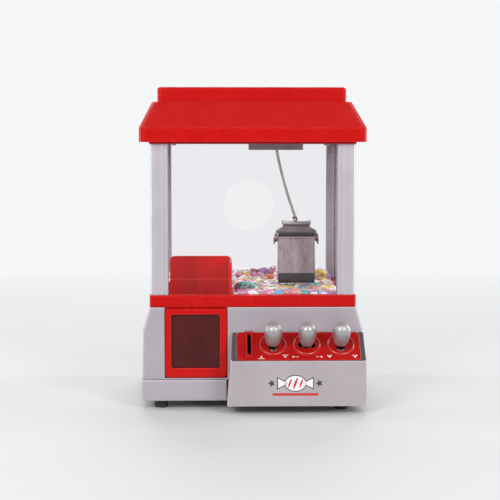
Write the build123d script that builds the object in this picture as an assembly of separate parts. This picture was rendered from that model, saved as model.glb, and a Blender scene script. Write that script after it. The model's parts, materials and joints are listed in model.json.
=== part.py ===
from build123d import *
from math import atan2, ceil, cos, degrees, pi, radians, sin, sqrt, tan
import os

# A table-top claw crane machine. Millimetres, +X right, -Y front, +Z up.
# The origin is the centre of the whole machine's footprint, at the underside of its feet.

# ---- overall sizes
tower_width = 235.4
tower_depth = 210.0
window_bottom = 131.6
window_top = 305.2

# ---- levels of the base
foot_height = 10.0
plinth_top = 34.0
shoulder_height = 93.2
rim_height = 13.7

# ---- how far each storey stands outside the tower
plinth_overhang = 10.7
ledge_overhang = 10.0
shoulder_overhang = 8.6
rim_overhang = 1.4
eave_overhang = 12.3
eave_overhang_front = 9.0
base_front_overhang = 5.0
base_rear_overhang = 6.0
plinth_front_overhang = 8.0
plinth_rear_overhang = 7.5

# ---- shells
wall = 2.5
corner_radius = 4.0
side_clearance = 0.1
soft_clearance = 0.3

# ---- roof
soffit_drop = 2.2
fascia_height = 15.9
slope_height = 30.9
crest_height = 17.6
slab_inset_side = 13.1
slab_inset_front = 45.0
crest_inset = 5.9
crest_inset_front = 8.0
eave_radius = 8.0
collar_height = 12.0

# ---- windows and pillars
window_thickness = 2.0
window_seat = 3.0
window_setback = 6.0
frame_band = 11.9
front_pillar_width = 20.3
rear_pillar_width = 16.9
pillar_depth = 18.0
pillar_radius = 5.0
hole_radius = 33.0
hole_height = 226.0
screw_head_radius = 2.6
screw_shank_radius = 1.3

# ---- playfield
deck_thickness = 2.4
sweets_top = 134.2
sweets_heap = 15.0
guard_height = 52.9
guard_side_gap = 19.7
guard_width = 74.0
guard_depth = 75.0
guard_thickness = 3.0

# ---- prize door
door_side_gap = 16.7
door_width = 71.0
door_lift = 2.8
door_drop = 1.4
door_bar_left = 7.0
door_bar_right = 8.0
door_bar_bottom = 11.2
door_bar_top = 6.5
door_corner = 4.5
door_window_corner = 2.8
door_gap = 0.7
flap_thickness = 2.0
flap_rod_radius = 1.2

# ---- control box and its sloping panel
box_door_gap = 0.1
box_overhang = 10.3
box_left_taper = 5.9
box_right_taper = 0.8
box_reach = 42.0
box_lean = 2.5
box_front_height = 60.9
panel_rise = 28.5
box_wall = 2.2
panel_left_strip = 11.1
panel_right_strip = 6.6
panel_thickness = 2.2
panel_sink = 1.2
panel_margin = 1.1

# ---- control sticks
stick_pitch = 38.7
last_stick_inset = 21.9
stick_up = 1.5
stick_depth = 12.0
stick_radius = 2.0
knob_radius = 10.2
knob_neck_radius = 8.0
knob_bottom = 5.7
knob_belly = 24.9
ring_radius = 15.5
stick_slot_length = 20.0
stick_slot_width = 9.6
board_depth = 23.0

# ---- coin way
coin_inset = 14.1
coin_slot_width = 4.4
coin_slot_length = 32.0
coin_slot_up = 1.0
coin_way_depth = 26.0
coin_finger_reach = 15.0

# ---- gantry
carriage_width = 65.0
carriage_front = 22.0
carriage_rear = 19.5
carriage_x = 30.0
carriage_hang = 7.2
rail_lift = 3.8
rail_thickness = 2.5
rail_width = 10.5
end_plate_gap = 15.7
end_plate_thickness = 4.0
end_plate_lift = 25.8
rod_lift = 2.3
rod_radius = 2.0
running_clearance = 0.08
gear_module = 1.25
gear_teeth = 10
gear_width = 4.6
side_rack_reach = 70.6
drive_shaft_offset = 23.0
cross_rack_lift = 20.05
winch_lift = 11.8

# ---- chain, winch and claw
exit_x = 33.2
hook_x = 54.6
hook_lift = 5.7
hook_ring_radius = 1.9
hook_wire = 0.6
chain_radius = 1.5
chain_bow = 2.6
drum_core_radius = 6.5
drum_flange_radius = 9.0
drum_half_length = 6.5
claw_x = 55.6
claw_width = 44.4
claw_rest_gap = 0.8
claw_height = 75.7
jaw_height = 56.0
jaw_pivot_offset = 6.5
jaw_pin_radius = 1.25
jaw_sheet = 1.2
jaw_belly = 16.0

# ---- batteries and electrics
cell_radius = 16.6
cell_length = 61.0
cell_pitch = 34.0
battery_x = 60.0
battery_front = 90.0
foot_radius = 7.75

# ---- values worked out from the ones above
half = tower_width / 2
rim_bottom = window_bottom - rim_height
guard_left = -half + guard_side_gap
guard_right = guard_left + guard_width
door_left = -half + door_side_gap
door_right = door_left + door_width
door_bottom = plinth_top + door_lift
door_top = rim_bottom - door_drop
box_left = door_right - box_door_gap
box_right = half + box_overhang
box_left_top = box_left + box_left_taper
box_right_top = box_right - box_right_taper
panel_left = box_left + panel_left_strip
panel_right = box_right - panel_right_strip
stick_middle = panel_right - last_stick_inset - stick_pitch
coin_x = panel_left + coin_inset
carriage_bottom = window_top - carriage_hang
rail_bottom = window_top + rail_lift
end_plate_top = window_top + end_plate_lift
rod_z_place = window_top + rod_lift
winch_z = window_top + winch_lift
claw_bottom = sweets_top + claw_rest_gap
head_top = claw_bottom + claw_height
jaw_pivot_z = claw_bottom + jaw_height
hook_z = head_top + hook_lift
panel_run = box_reach - box_lean - base_front_overhang
panel_angle = degrees(atan2(panel_rise, panel_run))
panel_length = sqrt(panel_run ** 2 + panel_rise ** 2) - 2 * panel_margin
panel_sin = sin(radians(panel_angle))
panel_cos = cos(radians(panel_angle))
panel_middle_reach = box_reach - box_lean - panel_run / 2
knob_reach = panel_middle_reach - stick_up * panel_cos + knob_belly * panel_sin + knob_radius
front = (knob_reach - tower_depth - eave_overhang_front) / 2
rear = front + tower_depth
middle = (front + rear) / 2
rim_half = half + rim_overhang
inner_half = rim_half - frame_band
inner_front = front - rim_overhang + frame_band
inner_rear = rear + rim_overhang - frame_band
base_front = front - base_front_overhang
eave_bottom = window_top + soffit_drop
knee_height = eave_bottom + fascia_height
slab_height = knee_height + slope_height
roof_top = slab_height + crest_height
end_plate_face = inner_half - end_plate_gap
bridge_y = front + 100.0
claw_y = bridge_y
gear_radius = gear_module * gear_teeth / 2
gear_pitch = gear_module * pi
addendum = 0.88 * gear_module
dedendum = 1.12 * gear_module
rail_top = rail_bottom + rail_thickness
side_rack_pitch_z = rail_top + 1.5 + dedendum
shaft_z = side_rack_pitch_z + gear_radius
cross_rack_pitch_z = window_top + cross_rack_lift
cross_pinion_x = carriage_x + 20.0
cross_pinion_z = cross_rack_pitch_z - gear_radius
cross_rack_y = bridge_y - 12.7
chain_slope = atan2(hook_x - exit_x, carriage_bottom - hook_z)
winch_radius = drum_core_radius + chain_radius + soft_clearance
chain_top_z = winch_z + winch_radius * sin(chain_slope)
chain_top_x = exit_x - (chain_top_z - carriage_bottom) * tan(chain_slope)
winch_x = chain_top_x - winch_radius * cos(chain_slope)
panel_place = Plane(
    origin=((panel_left + panel_right) / 2, front - panel_middle_reach, box_front_height + panel_rise / 2),
    x_dir=(1, 0, 0),
    z_dir=(0, -panel_sin, panel_cos),
).location
panel_centre_x = (panel_left + panel_right) / 2
stick_places = [stick_middle - stick_pitch, stick_middle, stick_middle + stick_pitch]


def block(x0, x1, y0, y1, z0, z1):
    return Pos((x0 + x1) / 2, (y0 + y1) / 2, (z0 + z1) / 2) * Box(x1 - x0, y1 - y0, z1 - z0)


def rod_x(radius, x0, x1, y, z):
    return Pos((x0 + x1) / 2, y, z) * Rot(0, 90, 0) * Cylinder(radius, x1 - x0)


def rod_y(radius, y0, y1, x, z):
    return Pos(x, (y0 + y1) / 2, z) * Rot(90, 0, 0) * Cylinder(radius, y1 - y0)


def rod_z(radius, z0, z1, x, y):
    return Pos(x, y, (z0 + z1) / 2) * Cylinder(radius, z1 - z0)


def rounded_slab(half_x, y0, y1, z0, z1, radius):
    outline = RectangleRounded(2 * half_x, y1 - y0, radius)
    return extrude(Pos(0, (y0 + y1) / 2, z0) * outline, z1 - z0)


def storeys(levels, radius):
    sections = []
    for half_x, y0, y1, z in levels:
        sections.append(Pos(0, (y0 + y1) / 2, z) * RectangleRounded(2 * half_x, y1 - y0, radius))
    return loft(sections, ruled=True)


def across_x(points, x0, x1):
    face = Plane.YZ * make_face(Polyline(*points, close=True))
    return Pos(x0, 0, 0) * extrude(face, x1 - x0)


def along_y(points, y0, y1):
    face = Plane.XZ * make_face(Polyline(*points, close=True))
    return Pos(0, y1, 0) * extrude(face, y1 - y0)


def coil(radius, wire, pitch, height):
    path = Helix(pitch, height, radius)
    start = Plane(origin=path @ 0, z_dir=path % 0)
    return sweep(start * Circle(wire), path)


def base_housing():
    shoulder_rear = rear + base_rear_overhang
    levels = [
        (half + ledge_overhang, base_front, shoulder_rear, plinth_top),
        (half + shoulder_overhang, base_front, shoulder_rear, shoulder_height),
        (rim_half, base_front, rear + rim_overhang, rim_bottom),
    ]
    outer = storeys(levels, corner_radius)
    inside = [
        (x - wall, y0 + wall, y1 - wall, z) for x, y0, y1, z in levels
    ]
    inner = storeys(inside, corner_radius - 1.5)
    shell = outer - inner
    door_hole = block(
        door_left - door_gap, door_right + door_gap,
        base_front - 1, base_front + wall + 1, door_bottom - door_gap, rim_bottom + 1,
    )
    top = plinth_top + 51.5
    x0, x1 = box_left + 8.6, box_right - 6
    box_hole = block(x0, x1, base_front - 1, base_front + wall + 1, plinth_top - 1, top)
    switch_hole = block(74.5, 85.5, shoulder_rear - wall - 1, shoulder_rear + 1, 56.5, 63.5)
    return shell - door_hole - box_hole - switch_hole


def base_plinth():
    half_x = half + plinth_overhang
    y0 = front - plinth_front_overhang
    y1 = rear + plinth_rear_overhang
    outer = rounded_slab(half_x, y0, y1, foot_height, plinth_top, corner_radius)
    outer = chamfer(outer.edges().group_by(Axis.Z)[0], 1.0)
    inner = rounded_slab(half_x - wall, y0 + wall, y1 - wall, foot_height + wall, plinth_top + 1, 2.0)
    tray = outer - inner
    tray -= block(box_left - 0.4, half_x + 1, y0 - 1, base_front, foot_height - 1, plinth_top + 1)
    tray -= block(
        battery_x - 48, battery_x + 48, battery_bay_front() + 2, battery_bay_rear() - 2,
        foot_height - 1, foot_height + wall + 1,
    )
    for side in (-1, 1):
        edge = battery_x + side * (battery_half() + 0.3)
        web = block(min(edge, edge + 2 * side), max(edge, edge + 2 * side), door_front(), door_rear() + 14,
                    foot_height - 5, foot_height)
        inward = edge - 2.2 * side
        lip = block(min(edge, inward), max(edge, inward), door_front(), door_rear() + 14,
                    foot_height - 5, foot_height - 3.1)
        tray += web + lip
    for x, y in speaker_holes():
        tray -= rod_z(1.6, foot_height - 1, foot_height + wall + 1, x, y)
    return tray


def battery_half():
    return (2 * cell_pitch + 2 * cell_radius) / 2 + 2.4


def battery_bay_front():
    return front + battery_front


def battery_bay_rear():
    return battery_bay_front() + cell_length + 6.0


def door_front():
    return battery_bay_front() - 2.0


def door_rear():
    return battery_bay_rear() + 2.0


def battery_box():
    top = foot_height + 2 * cell_radius + 0.4
    y0 = battery_bay_front()
    y1 = battery_bay_rear()
    x0, x1 = battery_x - battery_half(), battery_x + battery_half()
    outer = block(x0, x1, y0, y1, foot_height + wall, top + 2)
    inner = block(
        battery_x - battery_half() + 1.8, battery_x + battery_half() - 1.8, y0 + 1.8, y1 - 1.8,
        foot_height + wall - 1, top,
    )
    return outer - inner


def battery_cells():
    z = foot_height + cell_radius
    y0 = battery_bay_front() + 4.6
    cells = []
    for step in (-1, 0, 1):
        x = battery_x + step * cell_pitch
        can = rod_y(cell_radius, y0, y0 + cell_length - 3.4, x, z)
        cap = rod_y(4.6, y0 - 1.6, y0, x, z)
        cells.append(can + cap)
    return cells


def battery_contacts():
    z = foot_height + cell_radius
    pieces = []
    for step in (-1, 0, 1):
        x = battery_x + step * cell_pitch
        y = battery_bay_front() + 1.8
        pieces.append(block(x - 6, x + 6, y, y + 1, z - 6, z + 6))
        pieces.append(block(x - 6, x + 6, battery_bay_rear() - 2.6, battery_bay_rear() - 1.8, z - 6, z + 6))
    return pieces


def battery_door():
    z1 = foot_height - 0.4
    plate = block(
        battery_x - battery_half(), battery_x + battery_half(), door_front(), door_rear(), z1 - 2.4, z1,
    )
    for step in range(4):
        y = door_front() + 6 + 3 * step
        plate += block(battery_x - 15, battery_x + 15, y, y + 1.2, z1 - 3.2, z1 - 2.4)
    return plate


def speaker_holes():
    holes = []
    for ring in (0, 8, 15):
        count = max(1, ring)
        for step in range(count):
            angle = 2 * pi * step / count
            holes.append((62 + ring * cos(angle), front + 48 + ring * sin(angle)))
    return holes


def speaker():
    z = foot_height + wall
    rim = rod_z(26, z, z + 3, 62, front + 48) - rod_z(19, z - 1, z + 4, 62, front + 48)
    cone = Pos(62, front + 48, z + 7) * Cone(20, 9, 8) - Pos(62, front + 48, z + 6.2) * Cone(19.2, 8.2, 8)
    magnet = rod_z(14, z + 10.5, z + 18, 62, front + 48)
    return rim + cone + magnet


def main_board():
    z = foot_height + wall + 8
    left = -half + 17.7
    board = block(left, left + 80, front + 100, front + 160, z, z + 1.6)
    chips = [(25, 120, 18, 8), (55, 135, 12, 12), (40, 150, 24, 6), (10, 145, 8, 8)]
    for x, y, long, short in chips:
        chip = block(-long / 2, long / 2, -short / 2, short / 2, z + 1.6, z + 4.5)
        board += Pos(left + x, front + y, 0) * chip
    for x in (left + 4, left + 76):
        for y in (104, 156):
            board += rod_z(2.5, foot_height + wall, z, x, front + y)
    return board


def feet():
    places = [
        (-half + 11.2, front + 10.4), (half - 16.2, front - 2.6),
        (-half + 13.7, rear - 10), (half - 13.7, rear - 10),
    ]
    pads = []
    for x, y in places:
        pad = rod_z(foot_radius, 0, foot_height, x, y)
        pads.append(fillet(pad.edges().group_by(Axis.Z)[0], 0.8))
    return pads


def base_screws():
    screws = []
    for x in (-half - 1.3, half + 1.3):
        for y in (front + 40, middle, rear - 30):
            head = rod_z(3.2, foot_height - 1.6, foot_height, x, y)
            slot = block(x - 2.2, x + 2.2, y - 0.4, y + 0.4, foot_height - 3, foot_height - 0.9)
            screws.append(head - slot)
    return screws


def rim_band(z0, z1):
    outer = rounded_slab(rim_half, front - rim_overhang, rear + rim_overhang, z0, z1, pillar_radius)
    inner = rounded_slab(inner_half, inner_front, inner_rear, z0 - 1, z1 + 1, 2.0)
    return outer - inner


def rim_frame():
    band = rim_band(rim_bottom, window_bottom)
    outside = band.edges().group_by(Axis.Z)[-1].filter_by(
        lambda e: abs(e.center().X) > inner_half + 6 or e.center().Y < front or e.center().Y > rear
    )
    band = chamfer(outside, 0.8)
    for pane in glass_slots():
        band -= pane
    return band


def roof_collar():
    band = rim_band(window_top, window_top + collar_height)
    for pane in glass_slots():
        band -= pane
    return band


def playfield_deck():
    y0 = base_front + wall + 2.8
    y1 = rear + rim_overhang - wall - 0.3
    half_x = rim_half - wall - 0.7
    plate = rounded_slab(half_x, y0, y1, rim_bottom - deck_thickness, rim_bottom, 2.5)
    hole = block(
        guard_left + 2, guard_right - guard_thickness, inner_front, front + guard_depth - guard_thickness,
        rim_bottom - deck_thickness - 1, rim_bottom + 1,
    )
    return plate - hole


def chute_guard():
    z0 = rim_bottom
    z1 = rim_bottom + guard_height
    y1 = front + guard_depth
    back = along_y(
        [(guard_left, z0), (guard_right, z0), (guard_right, z1), (guard_left, z1)], y1 - guard_thickness, y1
    )
    corners = back.edges().filter_by(Axis.Y).group_by(Axis.Z)[-1]
    back = fillet(corners, 6.0)
    side = block(guard_right - guard_thickness, guard_right, inner_front + 0.2, y1 - 2.5, z0, z1 - 2.5)
    front_edge = side.edges().filter_by(Axis.X).group_by(Axis.Z)[-1].sort_by(Axis.Y)[0]
    side = fillet(front_edge, 6.0)
    skirt = block(-inner_half + 0.2, guard_left + 2, y1 - guard_thickness, y1, z0, 139.5)
    step = block(guard_left, guard_right, y1 - guard_thickness - 0.8, y1 - guard_thickness, z0, 142.8)
    rib = block(-62.5, -59.5, y1 - guard_thickness - 1.8, y1 - guard_thickness, z0, 142.8)
    return back + side + skirt + step + rib


def prize_chute():
    y0 = base_front + 4.8
    y1 = front + guard_depth
    top = rim_bottom - deck_thickness
    outer = across_x(
        [
            (y0, 42), (y0 + 12.5, 43.4), (y0 + 47, 55),
            (y1 + 1.5, top - 3.5), (y1 + 1.5, top), (y0, top),
        ],
        guard_left, guard_right - 1,
    )
    inner = across_x(
        [
            (y0 - 1, 44), (y0 + 12, 45.5), (y0 + 46, 57),
            (y1 - 1, top - 2.5), (y1 - 1, top + 1), (y0 - 1, top + 1),
        ],
        guard_left + 2, guard_right - 3,
    )
    return outer - inner


def door_opening():
    return (
        door_left + door_bar_left, door_right - door_bar_right,
        door_bottom + door_bar_bottom, door_top - door_bar_top,
    )


def flap_rod_place():
    return (base_front + 3.0, door_opening()[3] + 1.6)


def door_frame():
    x0, x1, z0, z1 = door_opening()
    body = block(door_left, door_right, base_front - 2, base_front + wall, door_bottom, door_top)
    body = fillet(body.edges().filter_by(Axis.Y), door_corner)
    body = fillet(body.faces().sort_by(Axis.Y)[0].edges(), 1.2)
    inner_face = base_front + wall
    left, right = door_left - 3, door_right + 3
    flange = block(left, right, inner_face, inner_face + 2, door_bottom + 1, door_top - 1.5)
    frame = body + flange
    window = block(x0, x1, base_front - 3, base_front + 6, z0, z1)
    window = fillet(window.edges().filter_by(Axis.Y), door_window_corner)
    pocket = block(x0 - 2.5, x1 + 2.5, base_front + 0.5, base_front + 6, z0 - 2, z1 + 4.2)
    frame = frame - window - pocket
    y, z = flap_rod_place()
    return frame - rod_x(flap_rod_radius + 0.05, x0 - 5, x1 + 5, y, z)


def flap_rod():
    x0, x1 = door_opening()[:2]
    y, z = flap_rod_place()
    return rod_x(flap_rod_radius, x0 - 4.8, x1 + 4.8, y, z)


def prize_flap():
    x0, x1, z0 = door_opening()[:3]
    y, z = flap_rod_place()
    plate = block(x0 - 1, x1 + 1, y - flap_thickness / 2, y + flap_thickness / 2, z0 - 1, z)
    barrel = rod_x(2.2, x0 - 1, x1 + 1, y, z)
    return plate + barrel - rod_x(flap_rod_radius + running_clearance, x0 - 2, x1 + 2, y, z)


def control_box_form(inset, behind):
    y_bottom = front - box_reach + inset
    y_knee = front - box_reach + box_lean + inset
    y_back = base_front + behind
    lift = -inset / panel_cos
    slope = panel_rise / panel_run
    knee_z = box_front_height + inset * slope + lift
    back_z = box_front_height + (y_back - front + box_reach - box_lean) * slope + lift
    z0 = foot_height + inset
    profile = across_x(
        [(y_bottom, z0), (y_knee, knee_z), (y_back, back_z), (y_back, z0)], box_left - 1, box_right + 1
    )
    rise = box_front_height + panel_rise - foot_height
    lean_left = (box_left_top - box_left) / rise
    lean_right = (box_right_top - box_right) / rise
    z1 = foot_height + rise + 2
    sides = along_y(
        [
            (box_left + inset + lean_left * (z0 - foot_height), z0),
            (box_right - inset + lean_right * (z0 - foot_height), z0),
            (box_right - inset + lean_right * (z1 - foot_height), z1),
            (box_left + inset + lean_left * (z1 - foot_height), z1),
        ],
        front - box_reach - 5, y_back + 5,
    )
    return profile & sides


def control_box():
    outer = control_box_form(0, 0)
    front_face = outer.faces().sort_by(Axis.Y)[0]
    outer = fillet(front_face.edges().filter_by(lambda e: e.length < 60), 2.5)
    shell = outer - control_box_form(box_wall, 3)
    seat = extrude(
        Pos(0, 0, -panel_sink) * RectangleRounded(panel_right - panel_left, panel_length, 5), panel_sink + 3
    )
    hole = Box(panel_right - panel_left - 5, panel_length - 5, 12)
    shell = shell - panel_place * seat - panel_place * hole
    return shell


def stick_local(index):
    return Pos(stick_places[index] - panel_centre_x, stick_up, 0)


def stick_turn(index):
    return Rot(0, 0, 90) if index == 1 else Rot(0, 0, 0)


def control_panel():
    plate = extrude(
        Pos(0, 0, -panel_sink) * RectangleRounded(panel_right - panel_left - 0.2, panel_length - 0.2, 5),
        panel_thickness,
    )
    top = panel_thickness - panel_sink
    plate = fillet(plate.edges().group_by(Axis.Z)[-1], 0.6)
    for index in range(3):
        centre = stick_local(index)
        ring = Cylinder(ring_radius, 1.2, align=(Align.CENTER, Align.CENTER, Align.MIN))
        ring = fillet(ring.edges().group_by(Axis.Z)[-1], 0.5)
        ring -= Cylinder(ring_radius - 1.6, 3)
        plate += centre * Pos(0, 0, top) * ring
        slot = extrude(Pos(0, 0, -panel_sink - 1) * SlotOverall(stick_slot_length, stick_slot_width, 90), 6)
        plate -= centre * stick_turn(index) * slot
    across, up = coin_slot_width / 2, coin_slot_length / 2
    slot = block(-across, across, -up, up, -5, 5)
    plate -= Pos(coin_x - panel_centre_x, coin_slot_up, 0) * slot
    for x, y in board_posts():
        plate += rod_z(2.2, -board_depth, -panel_sink, x, y)
    return panel_place * plate


def board_posts():
    left = stick_places[0] - 14 - panel_centre_x
    right = stick_places[2] + 17 - panel_centre_x
    return [(left, -15), (right, -15), (left, 15), (right, 15)]


def coin_block():
    top = panel_thickness - panel_sink
    body = block(-4.9, 4.9, -panel_length / 2 + 1.2, panel_length / 2 - 1.2, top, top + 3)
    body = fillet(body.faces().sort_by(Axis.Z)[-1].edges(), 0.8)
    slot = block(
        -coin_slot_width / 2, coin_slot_width / 2, -coin_slot_length / 2 + coin_slot_up,
        coin_slot_length / 2 + coin_slot_up, -1, 8,
    )
    return panel_place * Pos(coin_x - panel_centre_x, 0, 0) * (body - slot)


def coin_local():
    return panel_place * Pos(coin_x - panel_centre_x, coin_slot_up, 0)


def coin_way():
    outer = block(-3.5, 3.5, -17.5, 17.5, -coin_way_depth, -panel_sink)
    inner = block(-2.3, 2.3, -16.5, 16.5, -coin_way_depth - 1, 0)
    gap = block(2, 4, -9.0, -3.6, -18.9, -10.3)
    return coin_local() * (outer - inner - gap)


def coin_lever_place():
    return (3.8, 8.0, -12.0)


def coin_lever():
    x, y, z = coin_lever_place()
    hub = rod_x(2.2, x, x + 1.1, y, z)
    arm = block(x, x + 1.1, y - coin_finger_reach, y, z - 1, z + 1)
    finger = rod_x(0.8, -1.7, x + 1.1, y - coin_finger_reach, z)
    hole = rod_x(0.8 + running_clearance, x - 1, x + 3, y, z)
    return coin_local() * (hub + arm + finger - hole)


def coin_switch():
    x, y, z = coin_lever_place()
    body = block(x + 1.5, x + 5.6, -11, 12, -21, -9)
    pin = rod_x(0.8, x - 0.1, x + 2, y, z)
    bridge = block(3.5, x + 1.7, 13, 16, -21, -12) + block(x + 1.5, x + 5.6, 12, 16, -21, -12)
    return coin_local() * (body + pin + bridge)


def coin_bin():
    x0, x1 = coin_x - 16.1, coin_x + 19.9
    y0, y1 = front - 22, front + 14
    outer = block(x0, x1, y0, y1, foot_height + wall, 37)
    inner = block(x0 + 1.5, x1 - 1.5, y0 + 1.5, y1 - 1.5, foot_height + wall + 1.5, 38)
    return outer - inner


def stick_brackets():
    cheeks = []
    for index in range(3):
        for side in (-1, 1):
            near = side * 5.8
            far = side * 7.8
            cheek = block(min(near, far), max(near, far), -5, 5, -stick_depth - 4, -panel_sink)
            cheek -= rod_x(1.5 + 0.02, -10, 10, 0, -stick_depth)
            cheeks.append(panel_place * stick_local(index) * stick_turn(index) * cheek)
    return cheeks


def stick_pins():
    pins = []
    for index in range(3):
        pin = rod_x(1.5, -8.4, 8.4, 0, -stick_depth)
        pins.append(panel_place * stick_local(index) * stick_turn(index) * pin)
    return pins


def stick_springs():
    wire = 0.35
    bottom = -stick_depth + 4.5 + soft_clearance + wire
    top = -panel_sink - wire - 0.05
    springs = []
    for index in range(3):
        spring = Pos(0, 0, bottom) * coil(4.6 + 0.6, wire, (top - bottom) / 3, top - bottom)
        springs.append(panel_place * stick_local(index) * stick_turn(index) * spring)
    return springs


def stick_lever(index):
    shaft = rod_z(stick_radius, -stick_depth, knob_bottom + 14, 0, 0)
    barrel = rod_x(4.5, -5.4, 5.4, 0, -stick_depth)
    tail = block(-2, 2, -2, 2, -stick_depth - 4.6, -stick_depth)
    bar = block(-2, 2, -9, 9, -stick_depth - 5.5, -stick_depth - 3.9)
    lever = shaft + barrel + tail + bar - rod_x(1.5 + running_clearance, -8, 8, 0, -stick_depth)
    return panel_place * stick_local(index) * stick_turn(index) * lever


def knob_outline():
    rise = knob_belly - knob_bottom - 1.2
    shrink = knob_radius - knob_neck_radius
    flank_radius = (rise ** 2 + shrink ** 2) / (2 * shrink)
    lift = rise / 2
    mid_x = knob_radius - flank_radius + sqrt(flank_radius ** 2 - lift ** 2)
    flank = ThreePointArc(
        (knob_neck_radius, knob_bottom + 1.2), (mid_x, knob_belly - lift), (knob_radius, knob_belly)
    )
    dome = ThreePointArc(
        (knob_radius, knob_belly),
        (knob_radius * cos(pi / 4), knob_belly + knob_radius * sin(pi / 4)),
        (0, knob_belly + knob_radius),
    )
    foot = Polyline(
        (0, knob_belly + knob_radius), (0, knob_bottom), (knob_neck_radius - 0.8, knob_bottom),
        (knob_neck_radius, knob_bottom + 1.2),
    )
    return make_face(Curve() + [flank, dome, foot])


def stick_knob(index):
    knob = revolve(Plane.XZ * knob_outline(), Axis.Z)
    knob -= rod_z(stick_radius + 0.02, knob_bottom - 1, knob_bottom + 14.1, 0, 0)
    return panel_place * stick_local(index) * stick_turn(index) * knob


def stick_board():
    left, right = stick_places[0] - 17 - panel_centre_x, stick_places[2] + 20 - panel_centre_x
    board = block(left, right, -18, 19, -board_depth - 1.6, -board_depth)
    return panel_place * board


def stick_switches():
    switches = []
    for index in range(3):
        for side in (-1, 1):
            body = Pos(0, side * 8, 0) * block(-3, 3, -3, 3, -board_depth, -board_depth + 3.2)
            button = Pos(0, side * 8, 0) * rod_z(1.6, -board_depth + 3.2, -board_depth + 3.7, 0, 0)
            place = panel_place * stick_local(index) * stick_turn(index)
            switches.append(place * (body + button))
    return switches


def power_switch():
    inside = rear + base_rear_overhang - wall
    body = block(70, 90, inside - 8.3, inside - 0.3, 54, 66)
    ears = block(70, 73, inside - 0.3, inside, 54, 66) + block(87, 90, inside - 0.3, inside, 54, 66)
    return body + ears


def power_slider():
    inside = rear + base_rear_overhang - wall
    cap = block(75.2, 80.8, inside, inside + wall + 1.4, 57.2, 62.8)
    for step in range(3):
        x = 76.3 + 1.5 * step
        cap -= block(x, x + 0.7, inside + wall + 0.9, inside + wall + 2, 57, 63)
    return cap


def window_pane(name, grow, ends):
    z0 = window_bottom - window_seat - ends
    z1 = window_top + window_seat + ends
    t0 = window_setback - grow
    t1 = window_setback + window_thickness + grow
    if name == "front":
        reach = half - front_pillar_width + window_seat + ends
        return block(-reach, reach, front + t0, front + t1, z0, z1)
    if name == "rear":
        reach = half - rear_pillar_width + window_seat + ends
        inset = 2.0
        return block(-reach, reach, rear - t1 - inset, rear - t0 - inset, z0, z1)
    y0 = front + pillar_depth - window_seat - ends
    y1 = rear - pillar_depth + window_seat + ends
    if name == "left":
        return block(-half + t0, -half + t1, y0, y1, z0, z1)
    return block(half - t1, half - t0, y0, y1, z0, z1)


def glass_slots():
    names = ("front", "rear", "left", "right")
    return [window_pane(name, side_clearance, side_clearance) for name in names]


def rear_window():
    hole = rod_y(hole_radius, rear - 20, rear, 0, hole_height)
    return window_pane("rear", 0, 0) - hole


def pillar(side, end):
    width = front_pillar_width if end == "front" else rear_pillar_width
    x0, x1 = (half - width, half) if side > 0 else (-half, -half + width)
    y0, y1 = (front, front + pillar_depth) if end == "front" else (rear - pillar_depth, rear)
    post = block(x0, x1, y0, y1, window_bottom, window_top)
    outer_x = half * side
    outer_y = front if end == "front" else rear

    def away(edge):
        return abs(edge.center().X - outer_x), abs(edge.center().Y - outer_y)

    uprights = post.edges().filter_by(Axis.Z)
    post = fillet(uprights.filter_by(lambda edge: max(away(edge)) < 1), pillar_radius)
    uprights = post.edges().filter_by(Axis.Z)
    far = uprights.filter_by(
        lambda edge: abs(away(edge)[0] - width) < 0.1 or abs(away(edge)[1] - pillar_depth) < 0.1
    )
    post = fillet(far, 1.2)
    for pane in glass_slots():
        post -= pane
    inner_x = outer_x - side * width
    for near, deep in ((4.0, 0.8), (6.2, 0.5)):
        x = inner_x + side * near
        post -= block(x - 0.6, x + 0.6, outer_y - deep, outer_y + deep, window_bottom - 1, window_top + 1)
    for z in pillar_screw_levels():
        post -= pillar_screw(side, end, z, 0.05)
    return post


def pillar_screw_levels():
    return [window_bottom + 18, window_bottom + 64.4, window_bottom + 126.3, window_top - 14]


def pillar_screw(side, end, z, grow):
    x = side * (half - 12.3)
    if end == "front":
        face = front + pillar_depth
        head = rod_y(screw_head_radius + grow, face, face + 1.6, x, z)
        shank = rod_y(screw_shank_radius + grow, face - 7 - grow, face + 0.2, x, z)
    else:
        face = rear - pillar_depth
        head = rod_y(screw_head_radius + grow, face - 1.6, face, x, z)
        shank = rod_y(screw_shank_radius + grow, face - 0.2, face + 7 + grow, x, z)
    if grow:
        return shank
    slot = block(x - 1.8, x + 1.8, face - 3, face + 3, z - 0.3, z + 0.3)
    keep = rod_y(1.4, face - 1.0, face + 1.0, x, z)
    return head + shank - (slot - keep)


def pillar_screws():
    screws = []
    for side in (-1, 1):
        for end in ("front", "rear"):
            for z in pillar_screw_levels():
                screws.append(pillar_screw(side, end, z, 0))
    return screws


def roof_levels(inset, bottom):
    eave_half = half + eave_overhang - inset
    y0 = front - eave_overhang_front + inset
    y1 = rear + eave_overhang_front - inset
    run = slab_inset_front
    return [
        (eave_half, y0, y1, bottom),
        (eave_half, y0, y1, knee_height - inset * 0.35),
        (eave_half - slab_inset_side, y0 + run, y1 - run, slab_height - inset),
    ]


def roof_cap():
    outer = storeys(roof_levels(0, eave_bottom), eave_radius)
    inner = storeys(roof_levels(wall, eave_bottom + wall), eave_radius - wall)
    shell = outer - inner
    collar_hole = rounded_slab(
        rim_half, front - rim_overhang, rear + rim_overhang,
        eave_bottom - 1, eave_bottom + wall + 1, pillar_radius,
    )
    return shell - collar_hole


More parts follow.
